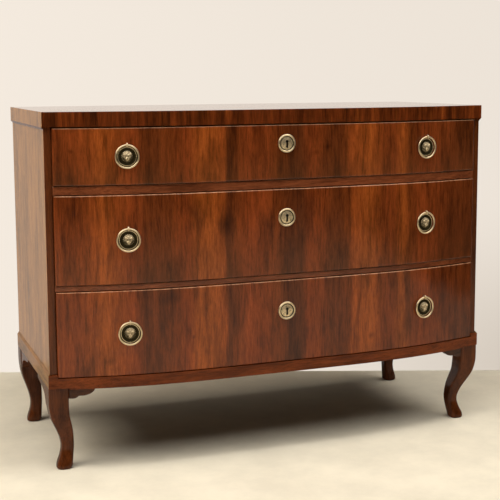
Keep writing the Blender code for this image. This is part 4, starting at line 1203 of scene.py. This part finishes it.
def mask():
    """A calm beast's mask in a mane, modelled in lumps and melted together."""
    lumps = [
        lump((0, 0, 1.6), (13.2, 13.2, 4.4)), lump((0, 0.4, 3.2), (9.4, 10.2, 4.2)),
        lump((0, -4.4, 6.4), (4.9, 3.9, 3.0)), lump((0, 0.9, 6.9), (1.8, 5.2, 2.2)),
        lump((0, -2.7, 8.9), (2.2, 1.4, 1.3)), lump((0, -8.4, 4.9), (3.0, 2.1, 2.4)),
        lump((0, 6.6, 5.9), (4.4, 3.4, 2.3)),
    ]
    for _, sign in SIDES:
        lumps += [
            lump((sign * 2.2, -5.3, 8.0), (2.6, 2.2, 1.8)), lump((sign * 3.9, 4.3, 7.0), (3.3, 1.6, 1.8)),
            lump((sign * 6.2, -1.2, 5.3), (3.2, 3.8, 2.4)), lump((sign * 3.5, 1.7, 6.7), (1.5, 1.0, 1.2)),
            lump((sign * 8.0, 8.2, 3.6), (2.3, 2.5, 2.2)), lump((sign * 6.6, 5.0, 5.4), (4.3, 3.4, 3.6)),
        ]
    # Three rings of the mane, the innermost only over the brow
    for count, first, turn, *shape in (
        (20, 0.5, pi / 10, 11.2, 3.3, 1.5, 3.3), (16, 0, pi / 8, 9.0, 2.6, 1.2, 5.0),
        (9, -4, pi / 9.2, 6.9, 2.4, 0.9, 6.2),
    ):
        lumps += [tuft((index + first) * turn, *shape) for index in range(count)]
    head = join("mask", *lumps)
    modify(head, "REMESH", mode="VOXEL", voxel_size=0.00026)
    modify(head, "SMOOTH", factor=0.5, iterations=2)
    for _, sign in SIDES:
        cut(head, lump((sign * 3.5, 1.55, 8.0), (0.55, 0.55, 0.7)))
        cut(head, lump((sign * 0.9, -3.3, 10.1), (0.45, 0.4, 0.6)))
    cut(head, lump((0, -7.0, 7.6), (3.1, 0.45, 1.4)))
    bisect(head, (0, 0, MM), (0, 0, 1), use_fill=True, clear_inner=True)
    return head


def patina_and_painted_highlight(head):
    """Patina dark in the mask's hollows; brow and muzzle bright, part rubbed brass, part painted highlight.
    """
    take(head)
    dirt = head.data.color_attributes.new("Dirt", "FLOAT_COLOR", "POINT")
    dirt.data.foreach_set("color", [1.0] * 4 * len(dirt.data))
    head.data.color_attributes.active_color = dirt
    bpy.ops.object.mode_set(mode="VERTEX_PAINT")
    bpy.ops.paint.vertex_color_dirt(blur_strength=1.0, blur_iterations=1, clean_angle=pi, dirt_angle=0.0)
    bpy.ops.object.mode_set(mode="OBJECT")
    # Brighter towards the top and middle: partly rubbed brass, partly a painted highlight of light from above
    for vert, shade_at in zip(head.data.vertices, head.data.color_attributes["Dirt"].data):
        x, y = vert.co.x / MM, vert.co.y / MM
        reach = 3.2 + 9.0 * min(max((y + 8) / 11, 0), 1)
        rubbed_and_highlit = min(max(1.6 - 1.2 * abs(x) / reach, 0), 1) * min(max((y + 12) / 3, 0), 1)
        shade_at.color = [v * (0.25 + 1.15 * rubbed_and_highlit) for v in shade_at.color[:3]] + [1]


# Half sections in mm: shank and nut behind the pull, and the pull's stamped plate with its two rims
SHANK_PROFILE = (
    (2.5, 0.3), (2.5, -22.3), (6.8, -22.3), (7.0, -22.5), (7.0, -25.0), (6.6, -25.3), (1.0, -25.3),
)
PLATE_PROFILE = (
    (10.0, 0.3), (25.6, 0.3), (26.0, 0.6), (26.0, 1.1), (25.7, 1.5), (24.7, 1.7), (24.2, 2.2), (23.5, 2.8),
    (22.6, 3.1), (21.7, 3.0), (20.9, 2.5), (20.4, 1.9), (19.9, 1.6), (18.8, 1.5), (18.4, 1.9), (17.8, 2.0),
    (17.3, 1.8), (17.0, 1.5), (15.5, 1.5), (10.0, 1.8),
)
NUT_CHAMFER = 0.0003
PULL_METALS = ("mask", "field", "ring")


class CHEST_OT_pulls(ChestOperator, bpy.types.Operator):
    """Casts one pull with its mask and ring, and copies it to the six places"""
    bl_idname = "chest.pulls"
    bl_label = "Ring pulls"

    def execute(self, context):
        head = mask()
        patina_and_painted_highlight(head)
        shank = turned("shank", SHANK_PROFILE, 6)
        bevel(shank, NUT_CHAMFER, 1, lambda a, b: max(a.z, b.z) < -0.0249 and min(a.z, b.z) > -0.0251)
        plate = turned("plate", PLATE_PROFILE, 112)
        eye = torus("eye", 0.0046, 0.0016, 40, 16)
        placed(eye, at(0, RING_RADIUS, RING_STANDOFF) @ Matrix.Rotation(pi / 2, 4, "Y"))
        pins = [lump((x, y, 2.9), (1.25, 1.25, 0.9)) for x, y in ((-22.4, 0), (22.4, 0), (0, -22.4))]
        parts = (head, plate, eye, shank, *pins)
        for obj, slot in zip(parts, (0, 1, 2, 2, 2, 2, 2)):
            fill_slots(obj, PULL_METALS)
            obj.data.polygons.foreach_set("material_index", [slot] * len(obj.data.polygons))
        for face in plate.data.polygons:
            if 0.0221 < face.center.xy.length < 0.0231 and face.center.z > 0.0027:
                face.material_index = 2
        pull = join("pull", *parts)
        wire = torus("wire", RING_RADIUS, sizes().ring_wire, 112, 20)
        for number in DRAWERS:
            for side, sign in SIDES:
                where = pull_frame(number, sign * PULL_X)
                piece = placed(copy_of(pull, f"pull_{number}_{side}"), where)
                finish(
                    piece, f"drawer_{number}", "aged_brass", PULL_METALS, 40, f"pull_{number}_{side}_plate"
                )
                piece = placed(copy_of(wire, f"ring_wire_{number}_{side}"), where @ at(0, 0, RING_STANDOFF))
                finish(piece, f"ring_{number}_{side}", "aged_brass", "ring", 60, f"pull_{number}_{side}_ring")
        discard(pull, wire)
        return {"FINISHED"}


# Half sections in mm: the key plate's edge, its rolled rim and its groove and dome, and a screw's head
KEY_EDGE = ((0.3, 0.0), (23.3, 0.0), (23.5, 0.4))
KEY_RIM = tuple((20.7 + 2.7 * cos(pi * step / 8), 1.2 + 3.0 * sin(pi * step / 8)) for step in range(9))
KEY_DOME = (
    (17.6, 1.1), (17.0, 1.4), (16.0, 2.1), (14.8, 2.4), (14.0, 2.2), (13.4, 2.3), (11.0, 2.9), (8.0, 3.3),
    (4.5, 3.5), (0.3, 3.6),
)
SCREW_PROFILE = ((0.4, 1.2), (2.2, 1.0), (3.0, 0.4), (3.1, -0.4))
KEY_METALS = ("ring", "field", "dome")


class CHEST_OT_keys(ChestOperator, bpy.types.Operator):
    """Turns the round key plates with rolled rim, groove, dome and pins, and cuts their keyholes"""
    bl_idname = "chest.keys"
    bl_label = "Key plates and locks"

    def execute(self, context):
        plate = turned("key_plate", KEY_EDGE + KEY_RIM + KEY_DOME, 112)
        cut(plate, key_cutter())
        pins = [lump((x, 0, 2.3), (1.0, 1.0, 0.8)) for x in (-15.9, 15.9)]
        for obj in (plate, *pins):
            fill_slots(obj, KEY_METALS)
        for face in plate.data.polygons:
            radius = face.center.xy.length
            # The keyhole's walls in the plate take the dark brass, as painted shade of the hole
            hole = abs(face.normal.z) < 0.3 and radius < 0.0145 and abs(face.center.x) < 0.004
            face.material_index = 1 if hole or 0.0155 < radius < 0.0185 else 0 if radius > 0.0185 else 2
        plate = join("key_plate", plate, *pins)
        for number in DRAWERS:
            piece = placed(copy_of(plate, f"key_plate_{number}"), key_frame(number))
            finish(piece, f"drawer_{number}", "aged_brass", KEY_METALS, 40, f"escutcheon_{number}")
            dress(f"lock_{number}_case", "iron")
            dress(f"lock_{number}_bolt", "bolt")
        discard(plate)

        head = turned("screw", SCREW_PROFILE, 24)
        cut(head, cube("slot", (-0.004, -0.0004, 0.0004), (0.004, 0.0004, 0.002)))
        for number in DRAWERS:
            low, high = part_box(f"lock_{number}_case")
            screws = []
            for index, (x, z) in enumerate(
                (x, z) for z in (low.z + 0.006, high.z - 0.008) for x in (low.x + 0.006, high.x - 0.006)
            ):
                turn = Matrix.Rotation(-pi / 2, 4, "X") @ Matrix.Rotation(0.7 + index * 0.9, 4, "Z")
                screws.append(placed(copy_of(head, "screw_head"), at(x, high.y, z) @ turn))
            finish(join(f"lock_screws_{number}", *screws), f"drawer_{number}", "lock_iron", "iron", 30)
        discard(head)
        return {"FINISHED"}


class CHEST_PT_panel(bpy.types.Panel):
    """Lists the pieces of the chest in the order they are built"""
    bl_idname = "CHEST_PT_panel"
    bl_label = "Chest of drawers"
    bl_space_type = "VIEW_3D"
    bl_region_type = "UI"
    bl_category = "Chest"

    def draw(self, context):
        layout = self.layout
        for group in (sizes(), colours()):
            for key in group.bl_rna.properties.keys():
                if key not in ("rna_type", "name"):
                    layout.prop(group, key)
        for operator in OPERATORS:
            layout.operator(operator.bl_idname)


OPERATORS = (
    CHEST_OT_stage, CHEST_OT_top, CHEST_OT_sides, CHEST_OT_rails, CHEST_OT_legs, CHEST_OT_fronts,
    CHEST_OT_boxes, CHEST_OT_pulls, CHEST_OT_keys,
)
CLASSES = (ChestColours, ChestSizes, *OPERATORS, CHEST_PT_panel)


def register():
    for entry in CLASSES:
        bpy.utils.register_class(entry)
    bpy.types.Scene.chest_colours = bpy.props.PointerProperty(type=ChestColours)
    bpy.types.Scene.chest_sizes = bpy.props.PointerProperty(type=ChestSizes)


def unregister():
    del bpy.types.Scene.chest_sizes
    del bpy.types.Scene.chest_colours
    for entry in reversed(CLASSES):
        bpy.utils.unregister_class(entry)


def main():
    register()
    MATERIALS.update(make_materials())
    guides = (bow_guide("bow_guide", False), bow_guide("bow_guide_front", True))
    for operator in OPERATORS:
        group, name = operator.bl_idname.split(".")
        getattr(getattr(bpy.ops, group), name)()
    discard(*guides)
    rest()


if __name__ == "__main__":
    main()
